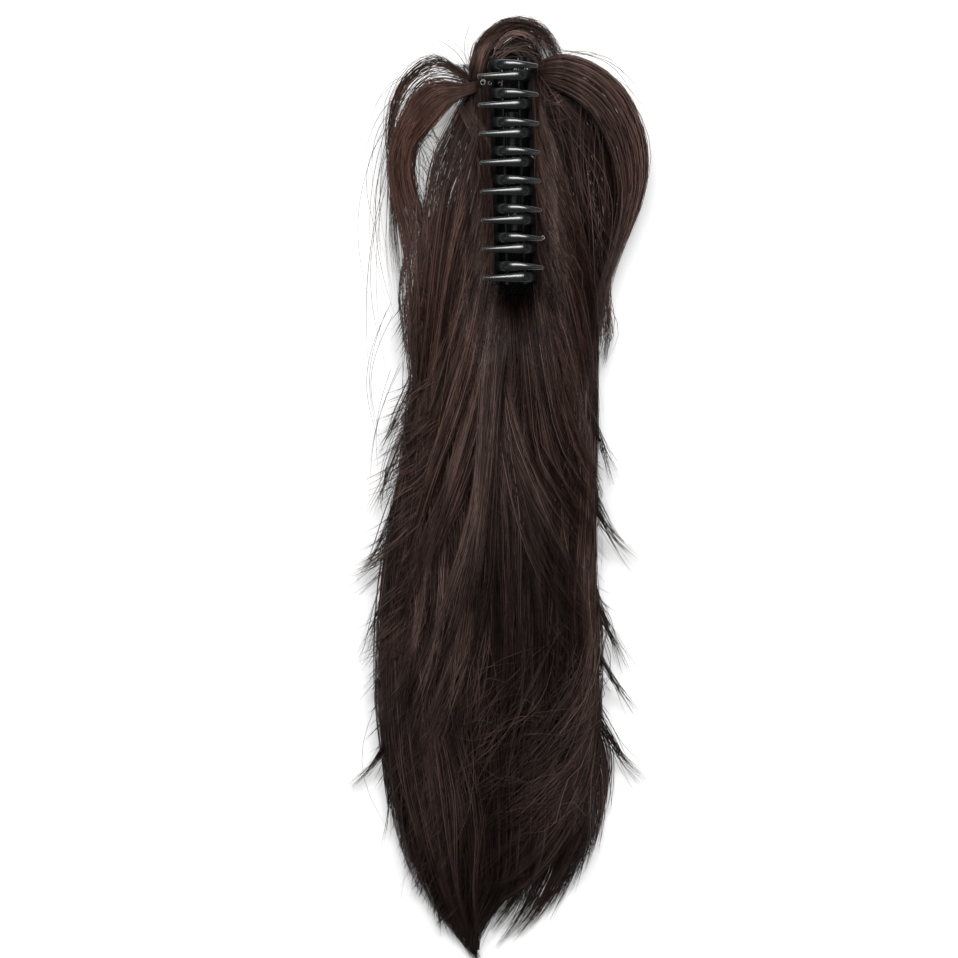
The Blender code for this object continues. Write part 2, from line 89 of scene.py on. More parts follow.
# Broad patches of painted light and shade where one layer of the tail lies over another: middle, half
# size, strength.
PAINTED_LAYER_SHADES = (
    (4, 52, 9, 5, -0.40),
    (-18, 30, 7, 10, -0.30),
    (-29, 0, 7, 14, -0.28),
    (0, -66, 16, 12, -0.12),
    (-33, -131, 16, 50, 0.15),
    (5, -84, 16, 24, -0.22),
    (-22, -121, 7, 12, -0.18),
    (6, -168, 12, 26, -0.22),
    (18, -127, 9, 14, 0.25),
    (-20, -210, 12, 24, -0.22),
    (-47, -285, 12, 22, 0.12),
    (5, -290, 20, 18, 0.25),
)

# The lower outline of the tail, as x and y from the left to the right: no strand ends below it.
LOWER_EDGE = (
    (-66, -270), (-60, -290), (-54, -309), (-48.5, -319), (-40, -330), (-32, -339), (-27, -345),
    (-24, -347), (-22.5, -324), (-20, -322), (-12, -337), (-3.5, -331), (3, -324), (12, -314),
    (22, -308), (27, -296), (33, -262),
)

# Sheets of hair on the tail. Each row is a line that the sheet crosses, given as its left x and y and
# its right x and y, and the rows follow the hair from root to tip. Each sheet has its strands, its
# locks, its lift over the imported form from root to tip, how ragged its end is, its tone and warmth and,
# where they aren't the usual ones, the length of a strand's step, how far strands stray, and how much
# painted shade darkens the root.
TAIL_SHEETS = {
    "deep_left": {
        "rows": (
            (-13, 34, -11, -38), (-30, -24, -16, -72), (-47, -90, -28, -120), (-58, -165, -33, -190),
            (-63, -235, -35, -240), (-57, -298, -32, -290), (-30, -338, -22, -328),
        ),
        "strands": 220, "locks": 14, "lift": (-2.0, -1.0), "ragged": 0.16, "tone": -0.45, "warm": 0.30,
        "step": 22,
    },
    "deep_right": {
        "rows": (
            (10, -40, 14, 36), (16, -76, 30, -28), (8, -122, 33, -98), (0, -190, 30, -168),
            (-6, -245, 31, -228), (-12, -295, 25, -285), (-16, -334, 14, -316),
        ),
        "strands": 220, "locks": 14, "lift": (-2.0, -1.0), "ragged": 0.16, "tone": -0.50, "warm": 0.15,
        "step": 22,
    },
    "deep_middle": {
        "rows": (
            (-11, -60, 11, -60), (-22, -112, 8, -112), (-28, -180, 10, -180), (-32, -240, 6, -240),
            (-36, -295, -8, -300), (-30, -342, -20, -336),
        ),
        "strands": 215, "locks": 12, "lift": (-3.5, -0.6), "ragged": 0.18, "tone": -0.45, "warm": 0.0,
        "step": 22,
    },
    "middle": {
        "rows": (
            (-12, -62, -3, -66), (-15, -105, -2, -108), (-20, -160, 6, -160), (-27, -215, 9, -215),
            (-32, -262, 0, -268),
        ),
        "strands": 460, "locks": 16, "lift": (-1.5, 0.8), "ragged": 0.40, "tone": 0.05, "warm": 0.0,
    },
    "lower_left": {
        "rows": (
            (-62, -190, -34, -196), (-64, -230, -28, -245), (-58, -278, -22, -284),
            (-46, -318, -24, -318), (-30, -342, -24, -342),
        ),
        "strands": 460, "locks": 14, "lift": (-1.4, 0.8), "ragged": 0.34, "tone": 0.0, "warm": 0.20,
    },
    "right_edge": {
        "rows": (
            (20, -44, 34, -42), (25, -90, 34.5, -84), (26, -140, 32, -140), (22, -190, 31, -190),
            (24, -235, 31, -235), (20, -288, 28, -280),
        ),
        "strands": 360, "locks": 9, "lift": (-1.2, 0.6), "ragged": 0.30, "tone": 0.05, "warm": 0.55,
    },
    "left_column": {
        "rows": (
            (-16, 40, -8.2, -10), (-26, 24, -10.5, -40), (-36, -4, -17, -74), (-45, -60, -25, -112),
            (-50, -112, -34, -152), (-56, -158, -46, -196),
        ),
        "strands": 620, "locks": 22, "lift": (-0.6, 1.2), "ragged": 0.34, "tone": -0.50, "warm": 0.85,
    },
    "left_wall": {
        "rows": (
            (-18, 38, -8.6, 44), (-17, 22, -8.6, 26), (-16, 6, -8.6, 8), (-15, -10, -8.6, -8),
            (-16, -32, -8.6, -30), (-20, -56, -9, -54),
        ),
        "strands": 300, "locks": 9, "lift": (-0.4, 0.0), "ragged": 0.20, "tone": -0.60, "warm": 0.70,
    },
    "right_wall": {
        "rows": (
            (8.6, 44, 17, 38), (8.6, 26, 17, 22), (8.6, 8, 17, 6), (8.6, -8, 17, -10),
            (8.6, -30, 18, -32), (9, -54, 22, -58),
        ),
        "strands": 280, "locks": 9, "lift": (-0.4, 0.0), "ragged": 0.20, "tone": -0.80, "warm": 0.70,
    },
    "left_tuck": {
        "rows": (
            (-24, 30, -18, 31), (-19, 20, -13, 23), (-13, 10, -9.6, 14), (-9.6, 0, -8.4, 5),
        ),
        "strands": 80, "locks": 3, "lift": (0.4, 0.8), "ragged": 0.20, "tone": 0.50, "warm": 0.30,
    },
    "right_column": {
        "rows": (
            (8, -47, 10, 20), (14, -70, 19, -6), (21, -94, 28, -40), (27, -125, 34, -86),
            (30, -162, 34, -142),
        ),
        "strands": 460, "locks": 16, "lift": (-0.8, 0.6), "ragged": 0.34, "tone": -0.45, "warm": 0.80,
    },
    "left_fan": {
        "rows": (
            (-12, -6, -4, -50), (-25, -56, -12, -90), (-42, -98, -22, -134), (-54, -132, -38, -174),
            (-62, -156, -55, -216),
        ),
        "strands": 560, "locks": 17, "lift": (0.0, 2.0), "ragged": 0.40, "tone": 0.02, "warm": 0.35,
        "root": 0.6, "stray": 1.3,
    },
    "right_fan_low": {
        "rows": (
            (-13, -84, -8, -76), (-8, -128, 0, -112), (3, -170, 14, -146), (20, -202, 28, -172),
            (36, -226, 36, -194),
        ),
        "strands": 260, "locks": 9, "lift": (-0.6, 1.8), "ragged": 0.40, "tone": 0.10, "warm": 0.05,
    },
    "right_fan": {
        "rows": (
            (0, -58, 9, -34), (2, -98, 15, -76), (6, -132, 22, -108), (21, -156, 31, -133),
            (37, -178, 38, -150),
        ),
        "strands": 380, "locks": 13, "lift": (0.4, 2.2), "ragged": 0.40, "tone": -0.12, "warm": 0.40,
        "root": 0.5, "stray": 1.4,
    },
    "left_front": {
        "rows": (
            (-9, -26, -1, -56), (-16, -84, -8, -102), (-23, -146, -12, -152), (-38, -190, -17, -200),
            (-59, -232, -43, -264),
        ),
        "strands": 480, "locks": 13, "lift": (0.8, 2.6), "ragged": 0.42, "tone": 0.30, "warm": 0.08,
        "root": 0.7, "stray": 1.2,
    },
    "left_second_layer": {
        "rows": (
            (-40, -150, -22, -160), (-48, -186, -24, -202), (-58, -222, -34, -246),
            (-66, -252, -52, -284),
        ),
        "strands": 260, "locks": 9, "lift": (0.2, 1.6), "ragged": 0.45, "tone": 0.25, "warm": 0.10,
    },
    "lower_right_arcs": {
        "rows": (
            (30, -186, 32, -236), (24, -232, 28, -276), (8, -262, 16, -302), (-10, -276, 0, -320),
            (-30, -284, -18, -334),
        ),
        "strands": 380, "locks": 17, "lift": (-0.8, 1.2), "ragged": 0.45, "tone": -0.05, "warm": 0.20,
    },
    "lower_arc_first": {
        "rows": (
            (31, -176, 33, -200), (24, -214, 29, -236), (8, -236, 14, -262), (-6, -246, 0, -276),
            (-24, -254, -16, -290),
        ),
        "strands": 90, "locks": 9, "lift": (0.0, 2.6), "ragged": 0.50, "tone": 0.70, "warm": 0.20,
        "stray": 4.0,
    },
    "lower_arc_second": {
        "rows": (
            (30, -222, 31, -246), (22, -254, 27, -274), (6, -268, 12, -290), (-8, -276, -2, -302),
            (-24, -282, -16, -312),
        ),
        "strands": 90, "locks": 9, "lift": (0.0, 2.2), "ragged": 0.50, "tone": 0.70, "warm": 0.25,
        "stray": 4.0,
    },
    "lower_left_arc": {
        "rows": (
            (-34, -186, -14, -196), (-42, -212, -20, -228), (-52, -236, -30, -258),
            (-63, -254, -44, -284),
        ),
        "strands": 110, "locks": 9, "lift": (0.0, 2.4), "ragged": 0.50, "tone": 0.85, "warm": 0.20,
        "stray": 2.4,
    },
    "end_right": {
        "rows": (
            (4, -246, 29, -246), (0, -276, 28, -274), (-4, -304, 24, -296), (-14, -338, 14, -316),
        ),
        "strands": 380, "locks": 13, "lift": (-1.6, 0.4), "ragged": 0.34, "tone": 0.05, "warm": 0.20,
    },
}

# Small locks whose tips stand out from the tail: a path of x, y and z from root to tip, its width at
# the root, its strands and how far they stray.
FLICKS = {
    "left_hook": (((-52, -218, 14), (-59, -242, 12), (-68, -258, 8), (-79, -269, 4.5)), 8.0, 46, 1.6),
    "left_upper": (((-46, -88, 18), (-54, -104, 15), (-59, -115, 11), (-64, -124, 8)), 7.0, 16, 2.0),
    "left_second": (((-50, -112, 17), (-57, -128, 14), (-62, -140, 10), (-67, -151, 7)), 8.0, 20, 2.0),
    "left_third": (((-54, -140, 16), (-61, -157, 12), (-67, -169, 9), (-74, -180, 6)), 8.0, 24, 2.2),
    "left_fourth": (((-58, -176, 15), (-64, -190, 11), (-69, -202, 8), (-74, -214, 5)), 7.0, 18, 2.0),
    "left_lower": (((-62, -240, 10), (-63, -262, 8), (-62, -280, 6), (-64, -296, 4)), 7.0, 16, 1.8),
    "right_first": (((26, -98, 22), (33, -114, 17), (38, -127, 12), (42, -139, 8)), 7.0, 28, 2.6),
    "right_second": (((24, -134, 22), (33, -151, 17), (41, -164, 11), (51, -176, 6)), 8.0, 38, 3.4),
    "right_third": (((26, -184, 18), (34, -198, 14), (40, -210, 9), (45, -223, 5)), 8.0, 36, 3.2),
    "right_fourth": (((28, -208, 15), (36, -222, 11), (42, -232, 8), (47, -240, 5)), 6.0, 20, 2.6),
    "right_fifth": (((25, -232, 14), (35, -249, 10), (42, -260, 7), (51, -270, 4)), 8.0, 36, 3.4),
    "right_sixth": (((23, -258, 11), (27, -275, 8), (27.5, -288, 6), (26, -302, 3)), 7.0, 24, 1.2),
    "end_point": (((-47, -292, 9), (-40, -316, 7), (-32, -334, 4), (-24.5, -347, 2)), 19.0, 190, 0.9),
    "end_core": (((-37, -298, 8), (-33, -317, 6), (-28.5, -333, 4), (-25.2, -347, 2)), 15.0, 120, 0.7),
    "end_inner": (((-22, -290, 8), (-20, -305, 6), (-19, -316, 4), (-22, -326, 2)), 9.0, 60, 1.2),
}

# The pointed locks that end the tail's right part, each sweeping down to the left: x and y of its
# start, and of its tip.
END_LOCKS = (
    (-8, -284, -23, -325),
    (-3, -286, -21, -329),
    (2, -288, -19, -334),
    (8, -292, -18, -341),
    (13, -289, -12, -338),
    (17, -286, -7, -336),
    (20, -283, -1, -331),
    (22, -279, 4, -328),
    (24, -274, 9, -322),
    (25, -268, 15, -317),
    (26, -260, 20, -309),
    (27, -252, 26, -300),
    (28, -242, 30, -288),
)

# Fine hair that peels off the tail's edges: its side, the y where it starts and ends, how many small
# locks, and how far they stand off.
EDGE_WISPS = (
    (-1, -45, -85, 30, 4.0),
    (-1, -85, -185, 120, 10.0),
    (-1, -185, -310, 110, 8.0),
    (-1, -285, -328, 40, 6.0),
    (1, -60, -115, 24, 2.5),
    (1, -115, -200, 46, 5.0),
    (1, -200, -300, 80, 6.0),
)

# Loops of hair beside and above the clip, as sheets with heights of their own. Each row holds x, y and
# z of the sheet's first edge and of its second. "depth" is how thick the loop is and "lit" how far its
# strands differ in painted light.
LOOP_SHEETS = {
    "right_outer": {
        "rows": (
            (13, 48, 20, 14, 38, 20), (24, 50.5, 22, 22, 35, 24), (38, 45.5, 22, 32, 28, 27),
            (50, 34, 20, 39, 18, 28), (57.5, 15, 16, 44, 5, 27), (58.3, -3, 13, 46, -10, 25),
            (54, -20, 11, 44, -24, 23), (46, -37, 9, 40, -40, 20), (40, -54, 8, 35, -56, 18),
            (36, -78, 8, 32, -80, 16),
        ),
        "strands": 540, "locks": 22, "ragged": 0.16, "tone": 0.30, "warm": 0.45,
        "depth": 2.6, "stray": 0.9, "step": 8,
    },
    # Its low tone is painted shade in the hollow of the loop.
    "right_hollow": {
        "rows": (
            (14, 42, 19, 14, 26, 19.5), (26, 36, 20, 19, 14, 20), (38, 24, 20, 23, 0, 20),
            (46, 6, 17, 26, -14, 20), (48, -12, 14, 29, -30, 19), (44, -32, 12, 31, -46, 17),
            (38, -50, 10, 31, -60, 15), (34, -72, 9, 30, -78, 13),
        ),
        "strands": 660, "locks": 14, "ragged": 0.16, "tone": -0.75, "warm": 0.50,
        "depth": 1.6, "stray": 1.2, "lit": 0.4, "step": 13,
    },
    "right_sweep": {
        "rows": (
            (9, -8, 20.3, 12, 34, 20.3), (12.5, -24, 20.8, 17.5, 16, 23), (18, -42, 23, 24, -8, 25),
            (24, -62, 22, 31, -32, 24), (30, -88, 19, 37, -56, 19), (33, -118, 16, 35.5, -84, 14),
        ),
        "strands": 380, "locks": 9, "ragged": 0.34, "tone": -0.45, "warm": 0.85,
        "depth": 2.2, "stray": 1.6,
    },
    "right_strip": {
        "rows": (
            (42, -44, 9, 39, -44, 12), (41, -58, 8, 37, -58, 10), (42, -74, 7, 36, -74, 9),
            (37, -92, 7, 33.5, -90, 9),
        ),
        "strands": 60, "locks": 5, "ragged": 0.35, "tone": 0.0, "warm": 0.6,
        "depth": 1.0, "stray": 1.4,
    },
    "left_band": {
        "rows": (
            (-15, 40, 20.3, -15, 35.5, 20.3), (-21, 39, 22, -22, 33, 22), (-29, 40, 22, -27, 30, 22),
            (-37, 39, 21, -33, 24, 21), (-44, 32, 19, -38, 18, 20), (-50, 21, 16, -43, 12, 18),
            (-53.5, 8, 13, -44.5, 3, 16), (-53, -6, 11, -43, -7, 15), (-50.5, -20, 10, -40, -15, 16),
            (-48.7, -36, 10, -36, -32, 18), (-48, -54, 9, -35, -54, 19),
            (-47.5, -78, 9, -36, -80, 19), (-49, -104, 9, -39, -108, 19),
            (-52, -128, 9, -44, -134, 18),
        ),
        "strands": 440, "locks": 15, "ragged": 0.36, "tone": 0.55, "warm": 0.95,
        "depth": 1.8, "stray": 1.5,
    },
    "left_veil": {
        "rows": (
            (-16, 41, 20.5, -16, 38, 20.5), (-23, 45, 22, -22, 40, 22), (-31, 49, 22, -29, 41, 22),
            (-39, 47, 20, -37, 39, 20), (-47, 39, 17, -44, 32, 18), (-52, 27, 14, -50, 21, 15),
            (-54, 12, 12, -53, 8, 13), (-54, -4, 10, -52, -6, 11), (-54, -22, 9, -50, -20, 10),
            (-54, -44, 8, -48, -42, 9), (-52, -70, 7, -47, -70, 8),
        ),
        "strands": 34, "locks": 9, "ragged": 0.30, "tone": 0.10, "warm": 0.55,
        "depth": 1.4, "stray": 1.6,
    },
    "left_thin": {
        "rows": (
            (-16, 41, 20, -16, 39, 20), (-24, 47.5, 22, -22, 43, 22), (-32, 52.5, 22, -30, 48, 21),
            (-41, 50, 20, -38, 46, 19), (-49, 42, 17, -46, 39, 16), (-54.5, 29, 14, -51, 28, 13),
            (-55.5, 14, 11, -52.5, 14, 11), (-55, 0, 9, -52.5, 0, 9), (-56, -18, 8, -52.5, -18, 8),
            (-56.5, -34, 7, -51.5, -34, 7), (-54.5, -50, 6, -50, -50, 7), (-53, -70, 6, -49, -70, 7),
            (-51, -94, 6, -48, -94, 8),
        ),
        "strands": 46, "locks": 6, "ragged": 0.25, "tone": -0.20, "warm": 0.45,
        "depth": 1.2, "stray": 0.8,
    },
    "top_band": {
        "rows": (
            (-18, 38, 20, -13, 38, 20), (-17.5, 49, 22, -10.5, 48, 19), (-13, 59, 22, -6.5, 56, 18),
            (-4, 65.5, 21, -1, 61, 17), (6, 67, 20, 5, 62, 17), (15, 63, 21, 10.5, 59.5, 18),
            (21, 55, 22, 15, 53, 19), (25, 45, 20, 18, 42, 20),
        ),
        "strands": 330, "locks": 11, "ragged": 0.08, "tone": -0.05, "warm": 0.50,
        "depth": 1.8, "stray": 1.1, "step": 6,
    },
    # Its low tone is painted shade in the hollow under the top loop.
    "top_under": {
        "rows": (
            (-9, 44, 17, 0, 44, 17), (-7, 53, 17, 0, 47, 17), (-2.5, 59, 16, 2, 49, 16),
            (4, 61.5, 15, 4, 50, 16), (10, 59, 16, 6, 49, 16), (14, 53, 17, 8, 47, 17),
            (16, 44, 17, 8, 44, 17),
        ),
        "strands": 280, "locks": 12, "ragged": 0.05, "tone": -1.1, "warm": 0.3,
        "depth": 1.6, "stray": 0.6, "lit": 0.1,
    },
    # A thin ring of very light strands: a painted highlight on the loop's inner edge.
    "top_ring": {
        "rows": (
            (-9, 46, 19, -7, 46, 19), (-6.5, 54, 19.5, -4.5, 53, 18), (-2, 59.5, 19.5, -1, 57.5, 18),
            (4, 61.5, 19.5, 4, 59.5, 18), (10, 59.5, 19.5, 9, 57.5, 18), (14, 54, 19.5, 12, 53, 18),
            (16, 46, 19, 14, 46, 19),
        ),
        "strands": 26, "locks": 5, "ragged": 0.05, "tone": 2.2, "warm": 0.0,
        "depth": 0.6, "stray": 0.8, "lit": 0.1,
    },
    "root_end": {
        "rows": (
            (-19, 32, 19.6, 17, 32, 19.6), (-21, 40, 18.5, 19, 40, 18.5), (-23, 45, 14, 21, 45, 14),
            (-24, 47, 8, 22, 47, 8), (-23, 47, 3, 21, 47, 3), (-22, 45, 0.8, 20, 45, 0.8),
        ),
        "strands": 330, "locks": 16, "ragged": 0.10, "tone": -0.9, "warm": 0.40,
        "depth": 0.8, "stray": 0.8, "step": 4, "lit": 0.1,
    },
    # A few very light strands: painted light on the mound over the clip's end.
    "end_arch": {
        "rows": (
            (-10, 43, 20, -7, 43, 20), (-8.5, 49, 20.5, -5.5, 48, 20.5),
            (-4, 53, 22.5, -2, 50.6, 21.5), (3.5, 54.8, 23, 3.5, 51.5, 22),
            (10, 53, 22.5, 8, 50.6, 21.5), (14, 49, 20.5, 11, 48, 20.5), (15, 43, 20, 12, 43, 20),
        ),
        "strands": 20, "locks": 8, "ragged": 0.05, "tone": 1.6, "warm": 0.1,
        "depth": 0.9, "stray": 2.0, "lit": 0.3,
    },
}

# Single hairs that stand off the outline: start x and y, end x and y, and how far the hair bows.
FLYAWAYS = (
    (-20, 40, -62, -12, 18),
    (-20, 40, -63, 6, 17),
    (-20, 42, -58, 20, 13),
    (-22, 41, -60, -40, 22),
    (-18, 44, -40, 58, 4),
    (-17, 46, -12, 66, -3),
    (-14, 52, 14, 69, -5),
    (-10, 60, 26, 52, -7),
    (20, 50, 50, 44, -5),
    (22, 52, 56, 26, -8),
    (20, 48, 58, 8, -10),
    (-48, 38, -58, -44, 9),
    (-50, 30, -58, -66, 11),
    (-52, 10, -60, -90, 9),
    (-56, -60, -60, -120, 8),
    (-54, -84, -66, -140, 6),
)

# Patches of single hairs, each hair drawn from anywhere in one box to anywhere in another: both boxes
# by x and y of two corners, the least z, the hairs and how far they bow.
PATCHES = (
    (-46, 0, -33, 26, -40, -20, -26, 8, 15, 44, 4),
    (-26, 32, -19, 40, -50, 14, -36, 34, 20, 16, 5),
    (16, 12, 40, 40, 26, -60, 46, -20, 27, 34, 5),
    (-44, -30, -28, 10, -52, -110, -34, -60, 20, 30, 4),
    (-50, -150, -20, -60, -60, -200, -20, -130, 20, 80, 5),
    (0, -150, 28, -60, 0, -200, 34, -130, 20, 80, 6),
    (-60, -215, -20, -150, -66, -250, -36, -200, 16, 50, 4),
    (0, -280, 30, -190, -40, -320, 0, -260, 14, 80, 9),
    (-60, -270, -20, -190, -60, -320, -25, -290, 12, 60, 6),
    (-20, -250, 20, -200, -50, -290, -10, -240, 14, 50, 10),
    (9, 16, 13, 46, 20, 4, 34, 40, 21, 26, 4),
    (9, -44, 14, 10, 18, -80, 30, -30, 21, 40, 4),
    (-14, -44, -9, 10, -30, -90, -18, -40, 21, 40, 4),
)

# Loose ends of the clear thread that ties each jaw to the net: x, y and z, the radius of the curl, its
# turns and the way it leans.
THREADS = {
    "left": (
        (-12.1, 39.2, 34.0, 1.3, 1.3, 0.4),
        (-9.0, 38.8, 36.0, 0.9, 0.8, 2.0),
        (-4.8, 38.4, 37.0, 1.1, 0.7, 5.2),
        (2.2, 44.0, 37.0, 0.9, 1.2, 1.0),
    ),
    "right": (
        (6.8, 44.2, 37.0, 0.9, 1.1, 0.0),
        (8.2, 5.8, 37.0, 1.0, 0.8, 3.2),
        (12.4, -29.6, 41.0, 0.8, 1.2, 1.5),
    ),
}

# Sizes in metres, and the levers' angle in degrees: the thread, then the jaws round the pin, with their
# inner radius, the knuckles, the room for the spring, and the levers.
THREAD_RADIUS = 0.00016
JAW_RADIUS = 0.0036
KNUCKLE_RADIUS = 0.0032
KNUCKLE_LENGTH = 0.0080
SPRING_ROOM = 0.0184
SIDE_GAP = 0.0004
LEVER_WIDTH = 0.0260
LEVER_REACH = 0.0180
LEVER_ANGLE = 40.0
LEVER_THICKNESS = 0.0018
# How rounded the long edges of the walls, the webs and the levers are, in shares of their thickness. A
# web joins a knuckle to its jaw: how thick it is against the wall, and where it starts and ends.
WALL_ROUNDING, WEB_ROUNDING, LEVER_ROUNDING = 0.15, 0.1, 0.3
WEB_THICKNESS, WEB_FROM, WEB_TO = 0.9, 0.525, 0.9

# On the left jaw (-1) and the right (1): where the crown of a tooth lies past the middle, in walls, and
# how far its tip drops.
CROWNS = {-1: -0.9, 1: 0.3}
TIP_DROPS = {-1: 0.0030, 1: 0.0018}


def a_number(name, description, default, **more):
    return FloatProperty(name=name, description=description, default=default, **more)


def a_length(name, description, default):
    return a_number(name, description, default, unit="LENGTH")


def a_colour(name, description, default):
    return FloatVectorProperty(
        name=name, description=description, default=default, subtype="COLOR", size=3
    )


class HairSettings(bpy.types.PropertyGroup):
    strand_width: a_length("Strand width", "Width of one strand", 0.00027)
    density: a_number("Density", "Share of the strands that are made", 1.0, min=0.05, max=1.0)
    dark: a_colour("Dark strands", "Colour of the deepest strands", (0.0085, 0.0046, 0.0038))
    light: a_colour("Light strands", "Colour of the lightest strands", (0.315, 0.212, 0.183))
    # The warm colour is partly the hair's own red and partly painted light that passes through thin hair.
    warm: a_colour("Warm strands", "Colour where light passes through thin hair", (0.240, 0.098, 0.070))


class ClawSettings(bpy.types.PropertyGroup):
    teeth: IntProperty(name="Teeth", description="Teeth on each jaw", default=8)
    pitch: a_length("Tooth pitch", "From one tooth to the next on a jaw", 0.01265)
    stagger: a_length("Stagger", "How far the right jaw's teeth sit behind the left's", 0.0050)
    wall: a_length("Wall", "Thickness of the jaws' walls", 0.0020)
    half_width: a_length("Half width", "From the middle to a jaw's wall", 0.0082)
    wall_top: a_length("Wall top", "Height of the walls over the pin", 0.0125)
    height: a_length("Claw height", "Height of the teeth over the pin", 0.0240)
    root_width: a_length("Tooth root", "Width of a tooth where it leaves the wall", 0.0048)
    tip_width: a_length("Tooth tip", "Width of a tooth near its tip", 0.0021)
    squareness: a_number("Squareness", "1 for a round arch to a tooth, less for a squarer one", 0.80)
    taper_from: a_length("Taper start", "Where the teeth start to narrow, from the middle", 0.0035)
    slant: a_length("Slant", "How far the left jaw's tips lean down the clip", 0.0010)
    thickness: a_length("Tooth thickness", "Thickness of a tooth", 0.0028)
    # The strength of the painted shade that takes the gloss off the teeth's roots and the walls.
    painted_wall_shade: a_number("Dulling", "How dull the teeth's roots and walls are", 0.98)
    colour: a_colour("Plastic", "Colour of the claw", (0.0035, 0.0038, 0.004))


class StageSettings(bpy.types.PropertyGroup):
    floor_colour: a_colour("Floor", "Colour of the floor", (0.88, 0.88, 0.88))
    floor_glow: a_number("Floor glow", "Light that the sheet lets through", 0.36)
    camera_height: a_length("Camera height", "Height of the camera", 12.0)
    view_width: a_length("View width", "What the picture takes in across", 0.4215)


class Wire:
    """A socket's value that takes part in Python sums, each of which adds a Math node."""

    def __init__(self, shader, socket):
        self.shader = shader
        self.socket = socket

    def _math(self, operation, *values):
        return self.shader.node("ShaderNodeMath", {"operation": operation}, dict(enumerate(values)))

    def __add__(self, other):
        return self._math("ADD", self, other)

    def __sub__(self, other):
        return self._math("SUBTRACT", self, other)

    def __mul__(self, other):
        return self._math("MULTIPLY", self, other)

    def __rsub__(self, other):
        return self._math("SUBTRACT", other, self)

    __radd__ = __add__
    __rmul__ = __mul__

    def clamp(self):
        return self.shader.node("ShaderNodeClamp", {}, {"Value": self}, "Result")


class Finish:
    """A node material that is built up by calls."""

    def __init__(self, name):
        self.material = bpy.data.materials.new(name)
        self.material.use_nodes = True
        self.tree = self.material.node_tree
        self.surface = self.tree.nodes["Principled BSDF"]

    def node(self, kind, settings, inputs, output=0):
        made = self.tree.nodes.new(kind)
        for key, value in settings.items():
            setattr(made, key, value)
        for key, value in inputs.items():
            self._feed(made.inputs[key], value)
        return Wire(self, made.outputs[output])

    def _feed(self, socket, value):
        if isinstance(value, Wire):
            self.tree.links.new(value.socket, socket)
        elif hasattr(value, "__len__") and len(value) == 3 and socket.type == "RGBA":
            socket.default_value = (*value, 1.0)
        else:
            socket.default_value = value

    def attribute(self, name):
        return self.node("ShaderNodeAttribute", {"attribute_name": name}, {}, "Fac")

    def object_place(self, scale):
        place = self.node("ShaderNodeTexCoord", {}, {}, "Object")
        return self.node("ShaderNodeMapping", {}, {"Vector": place, "Scale": scale})

    def noise(self, place, scale, detail=2.0):
        return self.node(
            "ShaderNodeTexNoise", {}, {"Vector": place, "Scale": scale, "Detail": detail}, "Fac"
        )

    def blend_colour(self, share, first, second):
        return self.node(
            "ShaderNodeMix", {"data_type": "RGBA"}, {"Factor": share, 6: first, 7: second}, 2
        )

    def over(self, share, **sockets):
        """Blends a second surface over the first by a share."""
        second = self.tree.nodes.new("ShaderNodeBsdfPrincipled")
        self._feed_all(second, sockets)
        mix = self.tree.nodes.new("ShaderNodeMixShader")
        self._feed(mix.inputs["Fac"], share)
        self.tree.links.new(self.surface.outputs[0], mix.inputs[1])
        self.tree.links.new(second.outputs[0], mix.inputs[2])
        self.tree.links.new(mix.outputs[0], self.tree.nodes["Material Output"].inputs["Surface"])
        return self.material

    def set(self, **sockets):
        self._feed_all(self.surface, sockets)
        return self.material

    def _feed_all(self, surface, sockets):
        for key, value in sockets.items():
            self._feed(surface.inputs[key.replace("_", " ")], value)


def hair_finish():
    """Dark glossy strands: each has its own tone, with painted light and shade in it; thin hair is
    warmer, partly its own red and partly painted light through it; light streaks it.
    """
    hair = bpy.context.scene.hairpiece_hair
    made = Finish("hair_strands")
    tone = made.attribute("tone")
    warmth = made.attribute("warmth")
    tone_share, streak_share, drop = 0.55, 0.50, 0.20
    # Painted light: lighter strands take more of the warm colour, as where light passes through thin
    # hair.
    least_warmth, lit_warmth = 0.045, 0.85
    streak = made.noise(made.object_place((160.0, 14.0, 60.0)), 1.0)
    level = (tone * tone_share + streak * streak_share - drop).clamp()
    share = level * level
    body = made.blend_colour(share, tuple(hair.dark), tuple(hair.light))
    warmed = (warmth * (least_warmth + share * lit_warmth)).clamp()
    colour = made.blend_colour(warmed, body, tuple(hair.warm))
    return made.set(
        Base_Color=colour, Roughness=0.34 + streak * 0.14, Specular_IOR_Level=0.20,
        Specular_Tint=(1.0, 0.86, 0.80),
    )


def under_hair_finish():
    """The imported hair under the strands: dark, with fine grooves that run along the tail."""
    hair = bpy.context.scene.hairpiece_hair
    made = Finish("hair_under")
    place = made.object_place((900.0, 30.0, 300.0))
    grain = made.noise(place, 1.0, 4.0)
    deep, high = (tuple(c * share for c in hair.dark) for share in (0.5, 1.4))
    colour = made.blend_colour(grain, deep, high)
    bump = made.node("ShaderNodeBump", {}, {"Height": grain, "Strength": 0.6, "Distance": 0.0006})
    return made.set(Base_Color=colour, Roughness=0.7, Normal=bump, Specular_IOR_Level=0.15)


